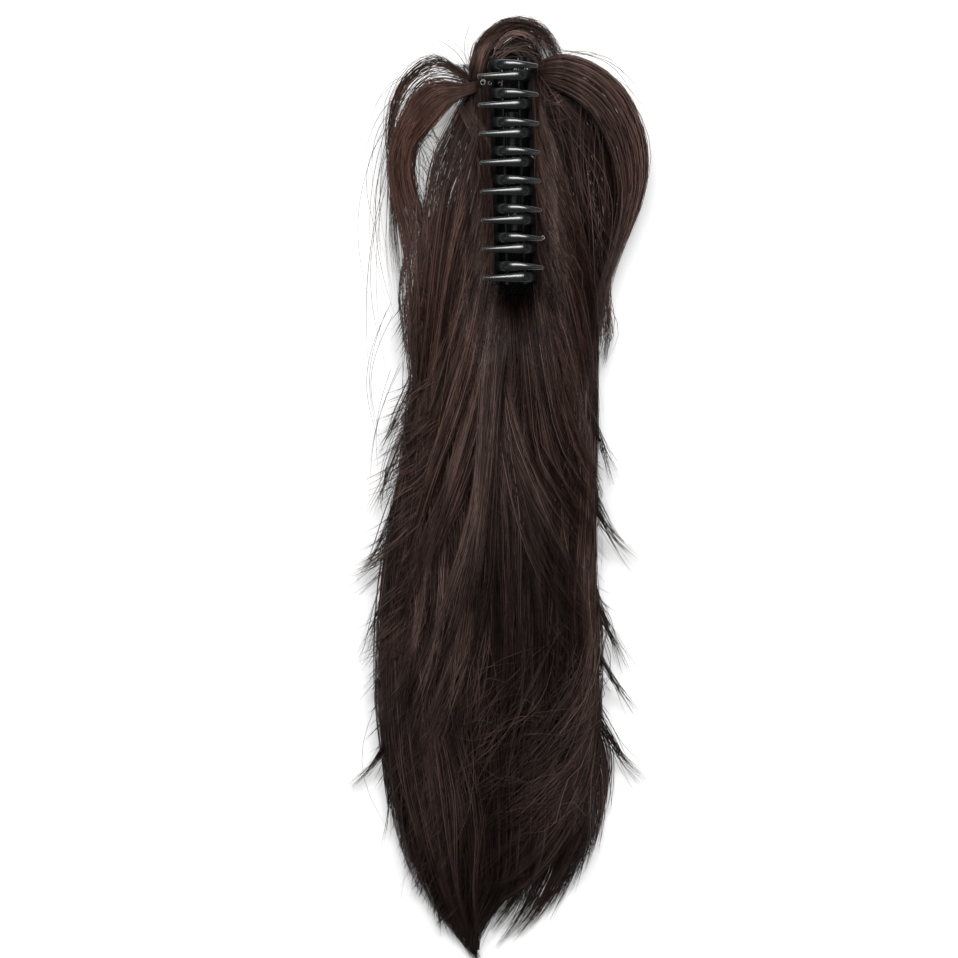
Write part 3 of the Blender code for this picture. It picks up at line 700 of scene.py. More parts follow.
def plastic_finish():
    """Polished black plastic, a little uneven from the mould and scuffed by handling, with painted shade
    that takes the gloss off the teeth's roots and the walls.
    """
    claw = bpy.context.scene.hairpiece_claw
    made = Finish("claw_plastic")
    waves = made.noise(made.object_place((1.0, 1.0, 1.0)), 220.0, 2.0)
    scuffs = made.noise(made.object_place((1.0, 0.25, 1.0)), 900.0, 3.0)
    shade = made.blend_colour(scuffs, tuple(claw.colour), tuple(c * 2.2 for c in claw.colour))
    bump = made.node("ShaderNodeBump", {}, {"Height": waves, "Strength": 0.10, "Distance": 0.0004})
    made.set(
        Base_Color=shade, Roughness=0.20 + scuffs * 0.10, Normal=bump, Specular_IOR_Level=1.0,
        Coat_Weight=0.7, Coat_Roughness=0.26,
    )
    # Painted shade: where the teeth meet the wall, and on the walls, the plastic loses its gloss and
    # reads nearly black.
    return made.over(made.attribute("dull"), Base_Color=shade, Roughness=0.8, Specular_IOR_Level=0.02)


def wire_finish():
    """Spring steel, nearly black, with a fine drawn grain."""
    made = Finish("near_black_wire")
    grain = made.noise(made.object_place((1.0, 8.0, 1.0)), 700.0, 3.0)
    colour = made.blend_colour(grain, (0.004, 0.004, 0.0045), (0.014, 0.014, 0.015))
    return made.set(Base_Color=colour, Metallic=1.0, Roughness=0.45 + grain * 0.25)


def net_finish():
    """Dark sewn net: crossed threads, with painted shade in the holes between them."""
    made = Finish("sewn_net")
    place = made.object_place((1.0, 1.0, 1.0))
    wave = {"wave_type": "BANDS", "bands_direction": "DIAGONAL"}
    one_way = made.node("ShaderNodeTexWave", wave, {"Vector": place, "Scale": 260.0}, "Fac")
    mirrored = made.object_place((-1.0, 1.0, 1.0))
    other_way = made.node("ShaderNodeTexWave", wave, {"Vector": mirrored, "Scale": 260.0}, "Fac")
    threads = (one_way * other_way).clamp()
    # Painted shade: the holes get a darker colour than the threads.
    colour = made.blend_colour(threads, (0.002, 0.0018, 0.0018), (0.010, 0.008, 0.008))
    bump = made.node("ShaderNodeBump", {}, {"Height": threads, "Strength": 0.8, "Distance": 0.0004})
    return made.set(Base_Color=colour, Roughness=0.85, Normal=bump, Specular_IOR_Level=0.06)


def thread_finish():
    """Clear nylon thread."""
    made = Finish("clear_thread")
    cloud = made.noise(made.object_place((1.0, 1.0, 1.0)), 900.0, 2.0)
    colour = made.blend_colour(cloud, (0.62, 0.60, 0.58), (0.85, 0.84, 0.83))
    return made.set(Base_Color=colour, Roughness=0.10 + cloud * 0.1, Transmission_Weight=0.55, IOR=1.5)


def floor_finish():
    """A pale sheet with a barely uneven tone."""
    stage = bpy.context.scene.hairpiece_stage
    made = Finish("pale_floor")
    cloud = made.noise(made.object_place((1.0, 1.0, 1.0)), 3.0, 2.0)
    plain, paler = (tuple(c * share for c in stage.floor_colour) for share in (1.0, 1.03))
    colour = made.blend_colour(cloud, plain, paler)
    return made.set(
        Base_Color=colour, Roughness=0.9, Emission_Color=colour, Emission_Strength=stage.floor_glow
    )


def finish_named(name, make):
    return bpy.data.materials.get(name) or make()


def link_piece(name, mesh, material, body, slot, *replaced):
    """Puts a finished mesh in the scene as a piece of the object."""
    piece = bpy.data.objects.new(name, mesh)
    bpy.context.scene.collection.objects.link(piece)
    mesh.materials.append(material)
    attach(piece, body)
    if replaced:
        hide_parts(*replaced)
    return piece


def mesh_from(name, bm):
    bmesh.ops.recalc_face_normals(bm, faces=bm.faces)
    mesh = bpy.data.meshes.new(name)
    bm.to_mesh(mesh)
    bm.free()
    mesh.shade_smooth()
    return mesh


def curve_through(rows, t):
    """Points of a smooth curve through rows of numbers, at shares t of the way along."""
    rows = np.asarray(rows, float)
    last = len(rows) - 1
    place = np.clip(t, 0, 1) * last
    i = np.minimum(place.astype(int), last - 1)
    s = (place - i)[..., None]
    before, here = rows[np.maximum(i - 1, 0)], rows[i]
    there, after = rows[i + 1], rows[np.minimum(i + 2, last)]
    slope_in, slope_out = (there - before) / 2, (after - here) / 2
    rise = 2 * here - 2 * there + slope_in + slope_out
    bend = 3 * (there - here) - 2 * slope_in - slope_out
    return ((rise * s + bend) * s + slope_in) * s + here


def ease(low, high, t):
    s = np.clip((t - low) / (high - low), 0, 1)
    return s * s * (3 - 2 * s)


def between(grid, i, j):
    """Values of a grid at places between its rows and columns."""
    i0 = np.minimum(i.astype(int), grid.shape[0] - 2)
    j0 = np.minimum(j.astype(int), grid.shape[1] - 2)
    u, v = i - i0, j - j0
    near = grid[i0, j0] * (1 - u) + grid[i0 + 1, j0] * u
    far = grid[i0, j0 + 1] * (1 - u) + grid[i0 + 1, j0 + 1] * u
    return near * (1 - v) + far * v


class HairForm:
    """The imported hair's surface: how high it lies at any place, and how far out it reaches."""

    # The step of the height map, the sections along the tail, and the reaches round each of them.
    STEP = 1.5
    ALONG, AROUND = 110, 48
    LEAST_REACH = 2.0
    LOWEST_ANGLE, HIGHEST_ANGLE = -22.0, 202.0
    # Past this angle, in radians, the tail ends at this y, because the left loop covers what is above.
    LEFT_SIDE, LEFT_TOP = 1.9, -26.0

    def __init__(self):
        bm = bmesh.new()
        bm.from_mesh(frame["nodes"]["hair_tail"].data)
        self.tree = BVHTree.FromBMesh(bm)
        bm.free()
        self._map_heights()
        self._map_sections()

    def _map_heights(self):
        margin, blurs = 24.0, 4
        low, high = np.array(TAIL_LOW) / MM - margin, np.array(TAIL_HIGH) / MM + margin
        self.xs = np.arange(low[0], high[0], self.STEP)
        self.ys = np.arange(low[1], high[1], self.STEP)
        found = np.full((len(self.xs), len(self.ys)), np.nan)
        for i, x in enumerate(self.xs):
            for j, y in enumerate(self.ys):
                hit = self.tree.ray_cast(Vector((x * MM, y * MM, 1.0)), Vector((0, 0, -1)))[0]
                if hit:
                    found[i, j] = hit.z / MM
        over_net = self._inside_net()
        found[over_net] = np.fmax(found[over_net], NET_HIGH.z / MM)
        self.heights = self._blur(self._fill(found), blurs)

    def _inside_net(self):
        x, y = np.meshgrid(self.xs * MM, self.ys * MM, indexing="ij")
        return (x > NET_LOW.x) & (x < NET_HIGH.x) & (y > NET_LOW.y) & (y < NET_HIGH.y)

    def _fill(self, found):
        """Carries the edge heights outwards, falling to the floor."""
        fall, most_rounds = 0.88, 60
        for _ in range(most_rounds):
            empty = np.isnan(found)
            if not empty.any():
                break
            near = np.stack([np.roll(found, s, a) for a in (0, 1) for s in (-1, 1)])
            known = ~np.isnan(near)
            total = np.where(known, near, 0).sum(0)
            count = known.sum(0)
            take = empty & (count > 0)
            found[take] = total[take] / count[take] * fall
        return np.nan_to_num(found, nan=0.5)

    def _blur(self, grid, times):
        for _ in range(times):
            grid = (np.roll(grid, 1, 0) + np.roll(grid, -1, 0) + 2 * grid) / 4
            grid = (np.roll(grid, 1, 1) + np.roll(grid, -1, 1) + 2 * grid) / 4
        return grid

    def height(self, x, y):
        i = np.clip((x - self.xs[0]) / self.STEP, 0, len(self.xs) - 1.001)
        j = np.clip((y - self.ys[0]) / self.STEP, 0, len(self.ys) - 1.001)
        return between(self.heights, i, j)

    def _map_sections(self):
        """Reach of the surface from each section's middle, by angle from the right hand side."""
        level, middle_share = 1.2, 0.3
        self.stations = np.linspace(TAIL_HIGH.y / MM - 2, TAIL_LOW.y / MM + 3, self.ALONG)
        self.angles = np.radians(np.linspace(self.LOWEST_ANGLE, self.HIGHEST_ANGLE, self.AROUND))
        middles, reaches = [], []
        for y in self.stations:
            left = self.tree.ray_cast(Vector((-1, y * MM, level * MM)), Vector((1, 0, 0)))[0]
            right = self.tree.ray_cast(Vector((1, y * MM, level * MM)), Vector((-1, 0, 0)))[0]
            middle = (left.x + right.x) / 2 / MM if left and right else middles[-1][0]
            up = float(self.height(np.array(middle), np.array(y))) * middle_share
            middles.append((middle, up))
            reaches.append([self._reach(middle, y, up, angle) for angle in self.angles])
        self.middles = np.array(middles)
        self.reaches = np.array(reaches)

    def _reach(self, x, y, z, angle):
        towards, middle = Vector((math.cos(angle), 0, math.sin(angle))), Vector((x, y, z)) * MM
        hit = self.tree.ray_cast(middle, towards)[0]
        return (hit - middle).length / MM if hit else self.LEAST_REACH

    def around(self, y, angle, out):
        """The point at a station and an angle, a little way out from the surface."""
        i = np.interp(-y, -self.stations, np.arange(len(self.stations)))
        j = np.interp(angle, self.angles, np.arange(len(self.angles)))
        reach = np.maximum(between(self.reaches, i, j) + out, 0.2)
        x, z = (np.interp(-y, -self.stations, row) for row in self.middles.T)
        return np.stack([x + reach * np.cos(angle), y, z + reach * np.sin(angle)], -1)


def hair_form(kept=[]):
    """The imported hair's surface, measured once."""
    if not kept:
        kept.append(HairForm())
    return kept[0]


def in_parting(x, y):
    """1 in the hollow below the clip's end that the hair leaves open and that painted shade darkens, and
    0 outside it.
    """
    down = np.clip((PARTING_TOP - y) / (PARTING_TOP - PARTING_TIP), 0, 1)
    reach = PARTING_HALF_WIDTH * (1 - down)
    inside = ease(0.0, 0.9, reach - np.abs(x - PARTING_LEAN * down))
    return inside * ((y < PARTING_TOP + 8) & (y > PARTING_TIP))


def clear_of_clip(paths, own=0.0):
    """Keeps hair under the room that the open jaws need, each strand at its own depth."""
    x, y, z = paths[..., 0], paths[..., 1], paths[..., 2]
    z = z - PARTING_DEPTH * in_parting(x, y)
    past_end = np.maximum(np.abs(y) - SWING_Y, 0)
    limit = np.interp(np.abs(x), SWING_X, SWING_Z) - own + SWING_RISE * past_end
    paths[..., 2] = np.maximum(np.minimum(z, limit), LEAST_HEIGHT)
    return paths


# How strands lie in a lock, in shares of its width and length: how far they spread from its middle, and
# at the most, how much shorter the shortest is, where the lock starts to narrow, how much it narrows on
# the tail and in a loop, how far it drifts, and how far it may pass the sheet's edge.
LOCK_SPREAD, LOCK_WIDEST, LOCK_SHORTER = 0.62, 1.5, 0.45
NARROW_FROM, TAIL_GATHER, LOOP_GATHER = 0.35, 0.72, 0.4
LOCK_DRIFT, PAST_EDGE = 0.8, 0.04
# The slow wave of a lock: its length, how far strands of one lock differ in it, and its size on the tail
# and in a loop, in shares of the lock's width.
WAVE_LENGTH, WAVE_OWN = 95.0, 0.35
TAIL_WAVE, LOOP_WAVE = 0.5, 0.3
# How long a strand's step is, and how far strands stray, where a sheet doesn't say.
TAIL_STEP, LOOP_STEP, USUAL_STRAY = 14, 10, 0.9
# How far a lock's middle stands over its sides, and how deep strands lie in it.
LOCK_ROUNDING, DEPTH_SPREAD = 1.6, 0.4


def in_locks(rng, count, locks, steps, ragged, gather):
    """Shares across and along a sheet for strands that gather into pointed locks."""
    lock = rng.integers(0, locks, count)
    centre = ((np.arange(locks) + rng.uniform(0.15, 0.85, locks)) / locks)[lock]
    offset = np.clip(rng.normal(0, LOCK_SPREAD, count), -LOCK_WIDEST, LOCK_WIDEST)
    lock_reach = 1 - ragged * rng.uniform(0, 1, locks)
    reach = lock_reach[lock] * (1 - LOCK_SHORTER * ragged * rng.beta(1.2, 2.0, count))
    along = uneven_steps(rng, count, steps)
    narrow = 1 - gather * ease(NARROW_FROM, 1.0, along)
    drift = rng.normal(0, LOCK_DRIFT, locks)[lock][:, None] * along**2 * ease(0.0, 0.5, along)
    across = centre[:, None] + (offset[:, None] * narrow + drift) / locks
    return lock, offset, np.clip(across, -PAST_EDGE, 1 + PAST_EDGE), along * reach[:, None]


def uneven_steps(rng, count, steps):
    """Shares along each strand, a little different for each."""
    return np.linspace(0, 1, steps)[None] ** rng.uniform(0.85, 1.2, (count, 1))


def waves(rng, lock, along, size, length):
    """A slow sideways wave that the strands of a lock share, with a little of their own."""
    phases = rng.uniform(0, 2 * math.pi, lock.max() + 1)[lock]
    phases = phases + rng.normal(0, WAVE_OWN, len(lock))
    turns = length / WAVE_LENGTH
    return size * np.sin(2 * math.pi * turns * along + phases[:, None]) * ease(0.0, 0.3, along)


def sheet_length(rows):
    rows = np.asarray(rows, float)
    half = rows.shape[1] // 2
    middle = (rows[:, :half] + rows[:, half:]) / 2
    return float(np.linalg.norm(np.diff(middle, axis=0), axis=1).sum())


# How the strands differ: a shift of them all, what the strands of a lock share and what each has of its
# own, from which depth a strand gets painted light and how much, and the lightest tone.
TONE_SHIFT, LOCK_TONE, STRAND_TONE, LIGHTEST = -0.18, 0.40, 0.38, 1.7
LOCK_WARMTH, STRAND_WARMTH = 0.12, 0.15
LIT_FROM, LIT_LEAST, LIT_MOST = 0.25, 1.0, 3.2


def tones(rng, lock, tone, warm, depth=None):
    """Each strand's tone and warmth: a share from its lock, a share of its own, and painted light on a
    few, chosen by their depth.
    """
    locks, count = lock.max() + 1, len(lock)
    depth = rng.normal(0, DEPTH_SPREAD, count) if depth is None else depth
    lit = np.maximum(depth - LIT_FROM, 0) * rng.uniform(LIT_LEAST, LIT_MOST, count)
    shared, own = rng.normal(0, LOCK_TONE, locks)[lock], rng.normal(0, STRAND_TONE, count)
    tone = tone + TONE_SHIFT + shared + own + lit
    warm = warm + rng.normal(0, LOCK_WARMTH, locks)[lock] + rng.normal(0, STRAND_WARMTH, count)
    return np.clip(0.5 + 0.5 * tone, 0, LIGHTEST), np.clip(warm, 0, 1)


def painted_layer_shade(x, y):
    """The share by which the painted light and shade of the tail's layers scale the tone at a place."""
    share = 1.0
    for middle_x, middle_y, half_x, half_y, strength in PAINTED_LAYER_SHADES:
        across, up = (x - middle_x) / half_x, (y - middle_y) / half_y
        share = share + strength * np.exp(-(across**2) - up**2)
    return share


# How much painted shade darkens strands at their roots, where they come out from under a layer or from
# the clip, and how far along it runs; how much darker they are towards the tail's end, where that starts
# and where it is full; and how much painted shade darkens them in the parting.
TAIL_ROOT_SHADE, LOOP_ROOT_SHADE, ROOT_SHARE = 0.7, 0.5, 0.30
END_SHADE, END_FROM, END_FULL = 0.28, 180, 250
PARTING_SHADE = 0.9


def shaded(paths, tone, root):
    """Tone at each point: painted shade where a layer comes out from under the one above it and in the
    parting, the layers' painted light and shade, and darker towards the tail's end.
    """
    along = np.linspace(0, 1, paths.shape[1])[None]
    root_shade = 1 - root * (1 - ease(0.0, ROOT_SHARE, along))
    end_shade = 1 - END_SHADE * ease(END_FROM, END_FULL, -paths[..., 1])
    # Painted shade in the hollow below the clip's end.
    hollow_shade = 1 - PARTING_SHADE * in_parting(paths[..., 0], paths[..., 1])
    layers = painted_layer_shade(paths[..., 0], paths[..., 1])
    return tone[:, None] * root_shade * end_shade * hollow_shade * layers


def strayed(rng, paths, size):
    """Lets each strand wander on its own."""
    count, steps, _ = paths.shape
    along = np.linspace(0, 1, steps)[None]
    for axis in (0, 1):
        turns, phase = rng.uniform(0.5, 1.6, (count, 1)), rng.uniform(0, 1, (count, 1))
        wave = np.sin(2 * math.pi * (turns * along + phase)) * rng.normal(0, size, (count, 1))
        paths[..., axis] += wave * ease(0.0, 0.5, along)
    return paths


def trimmed(rng, paths, spare=9.0):
    """Shortens the strands that pass the tail's lower outline, each by up to a spare length more."""
    edge_x, edge_y = np.array(LOWER_EDGE, float).T
    steps = paths.shape[1]
    share = np.linspace(0, 1, steps)
    room = paths[..., 1] - np.interp(paths[..., 0], edge_x, edge_y)
    room = room - spare * rng.beta(0.8, 2.0, len(paths))[:, None]
    for i in np.nonzero((room < 0).any(1))[0]:
        last = max(int(np.argmax(room[i] < 0)), 1)
        over, under = room[i, last - 1], room[i, last]
        end = share[last - 1] + share[1] * np.clip(over / max(over - under, 1e-6), 0, 1)
        for axis in range(3):
            paths[i, :, axis] = np.interp(share * max(end, 0.05), share, paths[i, :, axis])
    return paths


def tail_sheet(rng, form, sheet, density):
    """One sheet of strands that lies on the tail."""
    rows = np.asarray(sheet["rows"], float)
    length = sheet_length(rows)
    steps = max(8, int(length / sheet.get("step", TAIL_STEP)))
    count = max(4, int(sheet["strands"] * density))
    locks, ragged = sheet["locks"], sheet["ragged"]
    lock, offset, across, along = in_locks(rng, count, locks, steps, ragged, TAIL_GATHER)
    left = curve_through(rows[:, :2], along)
    right = curve_through(rows[:, 2:], along)
    across = across + waves(rng, lock, along, TAIL_WAVE / locks, length)
    flat = left + (right - left) * across[..., None]
    start, end = sheet["lift"]
    rounded = LOCK_ROUNDING * (1 - np.minimum(offset**2, 1.5))
    lift = start + (end - start) * ease(0.0, 0.5, along)
    lift = lift + rounded[:, None] * (1 - 0.4 * ease(0.6, 1, along))
    depth = np.clip(rng.normal(0, DEPTH_SPREAD, count), -1, 1)
    lift = lift + depth[:, None]
    paths = np.concatenate([flat, lift[..., None]], -1)
    paths = strayed(rng, paths, sheet.get("stray", USUAL_STRAY))
    paths[..., 2] += form.height(paths[..., 0], paths[..., 1])
    own = 0.1 + 0.9 * np.minimum(offset**2, 1.5) + 0.6 * (1 - depth)
    return clear_of_clip(trimmed(rng, paths), own[:, None]), lock, depth


def loop_sheet(rng, form, sheet, density):
    """One sheet of strands that arches free of the tail."""
    rows = np.asarray(sheet["rows"], float)
    length = sheet_length(rows)
    steps = max(10, int(length / sheet.get("step", LOOP_STEP)))
    count = max(4, int(sheet["strands"] * density))
    locks, ragged = sheet["locks"], sheet["ragged"]
    lock, offset, across, along = in_locks(rng, count, locks, steps, ragged, LOOP_GATHER)
    first = curve_through(rows[:, :3], along)
    second = curve_through(rows[:, 3:], along)
    across = across + waves(rng, lock, along, LOOP_WAVE / locks, length)
    paths = first + (second - first) * across[..., None]
    depth = rng.normal(0, DEPTH_SPREAD, count)[:, None] + 0.6 * (1 - offset[:, None] ** 2)
    rest = form.height(paths[..., 0], paths[..., 1]) + 0.5
    paths[..., 2] = np.where(paths[..., 1] < -8, np.maximum(paths[..., 2], rest), paths[..., 2])
    paths[..., 2] += sheet["depth"] * depth * ease(0.0, 0.25, along)
    return clear_of_clip(strayed(rng, paths, sheet["stray"])), lock


def shell_strands(rng, form, count):
    """Long layered strands all round the tail, so that it is hair from every side."""
    steps, locks, shortest, longest, last_start = 11, 170, 105, 165, 60
    lock = rng.integers(0, locks, count)
    top, tip = form.stations[0] - 2, form.stations[-1] + 2
    lock_start = rng.uniform(0, 1, locks) ** 0.9
    lock_angle = rng.uniform(form.angles[0], form.angles[-1], locks)
    offset = np.clip(rng.normal(0, 0.6, count), -1.5, 1.5)
    start = top + (tip + last_start - top) * lock_start[lock] + rng.normal(0, 9, count)
    length = rng.uniform(shortest, longest, locks)[lock] * rng.uniform(0.8, 1.1, count)
    along = uneven_steps(rng, count, steps)
    tops = np.where(lock_angle > HairForm.LEFT_SIDE, HairForm.LEFT_TOP, top)[lock][:, None]
    y = np.clip(start[:, None] - length[:, None] * along, tip, tops)
    # Each lock leans its own way, and its strands draw together towards the tip.
    lean = rng.normal(0.0, 0.10, locks)[lock][:, None] * along
    spread = 0.16 * (1 - 0.75 * ease(0.4, 1.0, along))
    angle = lock_angle[lock][:, None] + offset[:, None] * spread + lean
    angle = np.clip(angle, form.angles[0], form.angles[-1])
    rounded = 0.5 * (1 - offset[:, None] ** 2)
    out = -1.6 + 2.2 * ease(0, 0.4, along) + rounded + rng.normal(0, 0.3, count)[:, None]
    return clear_of_clip(trimmed(rng, form.around(y, angle, out))), lock


def edge_wisps(rng, form):
    """Fine hair that peels off the tail's sides, a little past its lower outline too."""
    steps, past, sunk = 7, 8.0, 3.0
    fewest, most = 2, 7
    shortest, longest = 9, 22
    lowest, highest = 0.03, 0.6
    along = np.linspace(0, 1, steps)[None]
    ys, angles, outs, locks = [], [], [], []
    for side, first, last, count, stand_off in EDGE_WISPS:
        for _ in range(count):
            strands = rng.integers(fewest, most)
            start = rng.uniform(last, first) + rng.normal(0, 3, (strands, 1))
            reach = rng.uniform(0.6, 1.0, (strands, 1)) * rng.uniform(shortest, longest)
            angle = rng.uniform(lowest, highest) + rng.normal(0, 0.04, (strands, 1))
            off = stand_off * rng.uniform(0.15, 1.2) * rng.uniform(0.6, 1.2, (strands, 1))
            ys.append(start - reach * along)
            angles.append(np.broadcast_to(angle if side > 0 else math.pi - angle, (strands, steps)))
            outs.append((off + sunk) * along**1.4 * 1.2 - sunk + rng.normal(0, 0.3, (strands, 1)))
            locks.append(np.full(strands, len(locks)))
    y, angle, out = (np.concatenate(part) for part in (ys, angles, outs))
    y = np.clip(y, form.stations[-1], form.stations[0])
    return clear_of_clip(trimmed(rng, form.around(y, angle, out), -past)), np.concatenate(locks)


def flick_strands(rng, path, width, count, stray_size):
    """A small lock with a fine point, its root sunk in the tail."""
    steps, narrowing, sunk = 12, 0.88, 2.5
    lock = np.zeros(count, int)
    reach = 1 - 0.45 * rng.beta(1.0, 1.6, count)
    along = np.linspace(0, 1, steps)[None] * reach[:, None]
    middle = curve_through(path, along)
    heading = np.gradient(middle[..., :2], axis=1)
    heading /= np.linalg.norm(heading, axis=2, keepdims=True)
    sideways = np.stack([-heading[..., 1], heading[..., 0]], -1)
    narrow = 1 - narrowing * ease(0.1, 1.0, along)
    offset = np.clip(rng.normal(0, 0.4, count), -1, 1)[:, None] * width / 2 * narrow
    stray = rng.normal(0, stray_size, count)[:, None] * ease(0.3, 1.1, along)
    flat = middle[..., :2] + sideways * (offset + stray)[..., None]
    z = middle[..., 2] + rng.normal(0, 0.6, count)[:, None] * narrow
    z = z - sunk * (1 - ease(0, 0.25, along))
    return clear_of_clip(np.concatenate([flat, z[..., None]], -1)), lock


def end_lock(row):
    """The path of a lock at the tail's end, from its start and its tip: it bows out to the right."""
    shares, heights, bow = np.array((0.0, 0.35, 0.7, 1.0)), (8.0, 6.0, 4.0, 1.5), 4.5
    flat = bowed(np.array(row[:2], float), np.array(row[2:], float), bow, shares)
    return np.column_stack([flat, heights])


def bowed(start, end, bow, shares):
    """A flat line of points from one place to another that bows sideways."""
    along = shares[:, None]
    chord = end - start
    side = np.array([-chord[1], chord[0]]) / np.linalg.norm(chord)
    return start + chord * along + side * bow * np.sin(math.pi * along)


def flyaways(rng, form):
    """Single hairs that stand off the outline, falling from the clip's height to the floor."""
    steps, each, start_spread, end_spread, over = 20, 3, 1.5, 6.0, 2.0
    paths = []
    for x0, y0, x1, y1, bow in FLYAWAYS:
        for _ in range(each):
            start = np.array([x0, y0]) + rng.normal(0, start_spread, 2)
            end = np.array([x1, y1]) + rng.uniform(-end_spread, end_spread, 2)
            flat = bowed(start, end, -bow * rng.uniform(0.5, 1.25), np.linspace(0, 1, steps))
            z = np.maximum(form.height(*flat.T) + over, np.linspace(20, 2, steps))
            paths.append(np.concatenate([flat, z[:, None]], -1))
    paths = clear_of_clip(np.array(paths))
    return paths, np.arange(len(paths))


def loose_hairs(rng, form):
    """Single hairs that cross the tail."""
    steps, over = 11, 2.4
    paths = []
    for x0, y0, x1, y1, x2, y2, x3, y3, level, count, bow in PATCHES:
        for _ in range(count):
            start, end = rng.uniform((x0, y0), (x1, y1)), rng.uniform((x2, y2), (x3, y3))
            flat = bowed(start, end, rng.normal(0, bow), np.linspace(0, 1, steps))
            z = np.maximum(form.height(*flat.T) + over, level)
            paths.append(np.concatenate([flat, z[:, None]], -1))
    paths = clear_of_clip(np.array(paths))
    return paths, np.arange(len(paths))


# Strands' widths, in shares of the usual one: the finest and the widest, how wide dim ones are and what
# a lighter tone, painted light among it, adds, how much of it the tip loses and where that starts, and
# how wide the root is.
FINEST, WIDEST, DIM_WIDTH, LIT_WIDTH = 0.7, 1.1, 0.9, 0.3
TIP_LOSS, TIP_FROM, ROOT_WIDTH = 0.8, 0.55, 0.5


def strand_radii(rng, paths, width, tone):
    """Full width most of the way and fine at the tip. Lighter strands, painted light among them, are the
    wider ones.
    """
    along = np.linspace(0, 1, paths.shape[1])[None]
    own = rng.uniform(FINEST, WIDEST, len(paths)) * (DIM_WIDTH + LIT_WIDTH * np.minimum(tone, 1))
    tip = 1 - TIP_LOSS * ease(TIP_FROM, 1.0, along)
    root = ROOT_WIDTH + (1 - ROOT_WIDTH) * ease(0.0, 0.05, along)
    return width / 2 * own[:, None] * tip * root


class StrandMesh:
    """Gathers strands and makes one joined mesh of closed three-sided tubes."""

    SIDES = 3

    def __init__(self):
        self.points, self.faces_four, self.faces_three = [], [], []
        self.tone, self.warmth = [], []
        self.total = 0

    def add(self, paths, radii, tone, warmth):
        count, steps, _ = paths.shape
        tangent = np.gradient(paths, axis=1)
        tangent /= np.maximum(np.linalg.norm(tangent, axis=2, keepdims=True), 1e-9)
        side = np.cross(tangent, (0.0, 0.0, 1.0))
        side /= np.maximum(np.linalg.norm(side, axis=2, keepdims=True), 1e-9)
        upward = np.cross(side, tangent)
        turn = math.pi / 2 + 2 * math.pi * np.arange(self.SIDES) / self.SIDES
        ring = (
            side[:, :, None] * np.cos(turn)[None, None, :, None]
            + upward[:, :, None] * np.sin(turn)[None, None, :, None]
        )
        points = paths[:, :, None] * MM + ring * radii[:, :, None, None]
        index = self.total + np.arange(count * steps * self.SIDES).reshape(count, steps, self.SIDES)
        after = np.roll(index, -1, axis=2)
        four = np.stack([index[:, :-1], index[:, 1:], after[:, 1:], after[:, :-1]], -1)
        three = np.concatenate([index[:, 0], index[:, -1, ::-1]])
        self.points.append(points.reshape(-1, 3))
        self.faces_four.append(four.reshape(-1, 4))
        self.faces_three.append(three)
        repeat = steps * self.SIDES
        self.tone.append(np.repeat(tone.ravel(), self.SIDES))
        self.warmth.append(np.repeat(warmth, repeat))
        self.total += count * repeat

    def triangles(self):
        return sum(2 * len(f) for f in self.faces_four) + sum(len(f) for f in self.faces_three)

    def mesh(self, name):
        four, three = np.concatenate(self.faces_four), np.concatenate(self.faces_three)
        made = bpy.data.meshes.new(name)
        made.vertices.add(self.total)
        made.vertices.foreach_set("co", np.concatenate(self.points).astype(np.float32).ravel())
        made.loops.add(four.size + three.size)
        corners = np.concatenate([four.ravel(), three.ravel()])
        made.loops.foreach_set("vertex_index", corners.astype(np.int32))
        made.polygons.add(len(four) + len(three))
        starts = np.concatenate([np.arange(len(four)) * 4, four.size + np.arange(len(three)) * 3])
        made.polygons.foreach_set("loop_start", starts.astype(np.int32))
        for key, values in (("tone", self.tone), ("warmth", self.warmth)):
            layer = made.attributes.new(key, "FLOAT", "POINT")
            layer.data.foreach_set("value", np.concatenate(values).astype(np.float32))
        made.update(calc_edges=True)
        made.validate()
        made.shade_smooth()
        return made


def strand_piece(name, strands, *replaced):
    return link_piece(
        name, strands.mesh(name), finish_named("hair_strands", hair_finish), HAIR_BODY, "hair", *replaced
    )


def sweep(bm, path, widths, heights, sides, wide_axis=None):
    """Extrudes a disc along a path, scaled at each step. wide_axis fixes the way its width runs."""
    frames = []
    for i, point in enumerate(path):
        tangent = (path[min(i + 1, len(path) - 1)] - path[max(i - 1, 0)]).normalized()
        across = Vector(wide_axis) if wide_axis else tangent.cross(Vector((0, 0, 1))).normalized()
        upward = across.cross(tangent).normalized()
        turned = Matrix((across * widths[i], upward * heights[i], tangent)).transposed().to_4x4()
        frames.append(Matrix.Translation(point) @ turned)
    cap = bmesh.ops.create_circle(bm, cap_ends=True, segments=sides, radius=1.0, matrix=frames[0])
    face = cap["verts"][0].link_faces[0]
    for here, there in zip(frames, frames[1:]):
        made = bmesh.ops.extrude_face_region(bm, geom=[face], use_keep_orig=here is frames[0])
        verts = [v for v in made["geom"] if isinstance(v, bmesh.types.BMVert)]
        face = next(f for f in made["geom"] if isinstance(f, bmesh.types.BMFace))
        bmesh.ops.transform(bm, matrix=there @ here.inverted(), verts=verts)


def rounded_end(path, widths, heights, steps=5):
    """Adds a domed tip to a bar's path and sizes."""
    heading, blunt = (path[-1] - path[-2]).normalized(), 0.08
    base, width, height = path[-1], widths[-1], heights[-1]
    for i in range(1, steps + 1):
        angle = math.pi / 2 * i / steps
        path.append(base + heading * width * math.sin(angle))
        widths.append(max(width * math.cos(angle), width * blunt))
        heights.append(max(height * math.cos(angle), height * blunt))


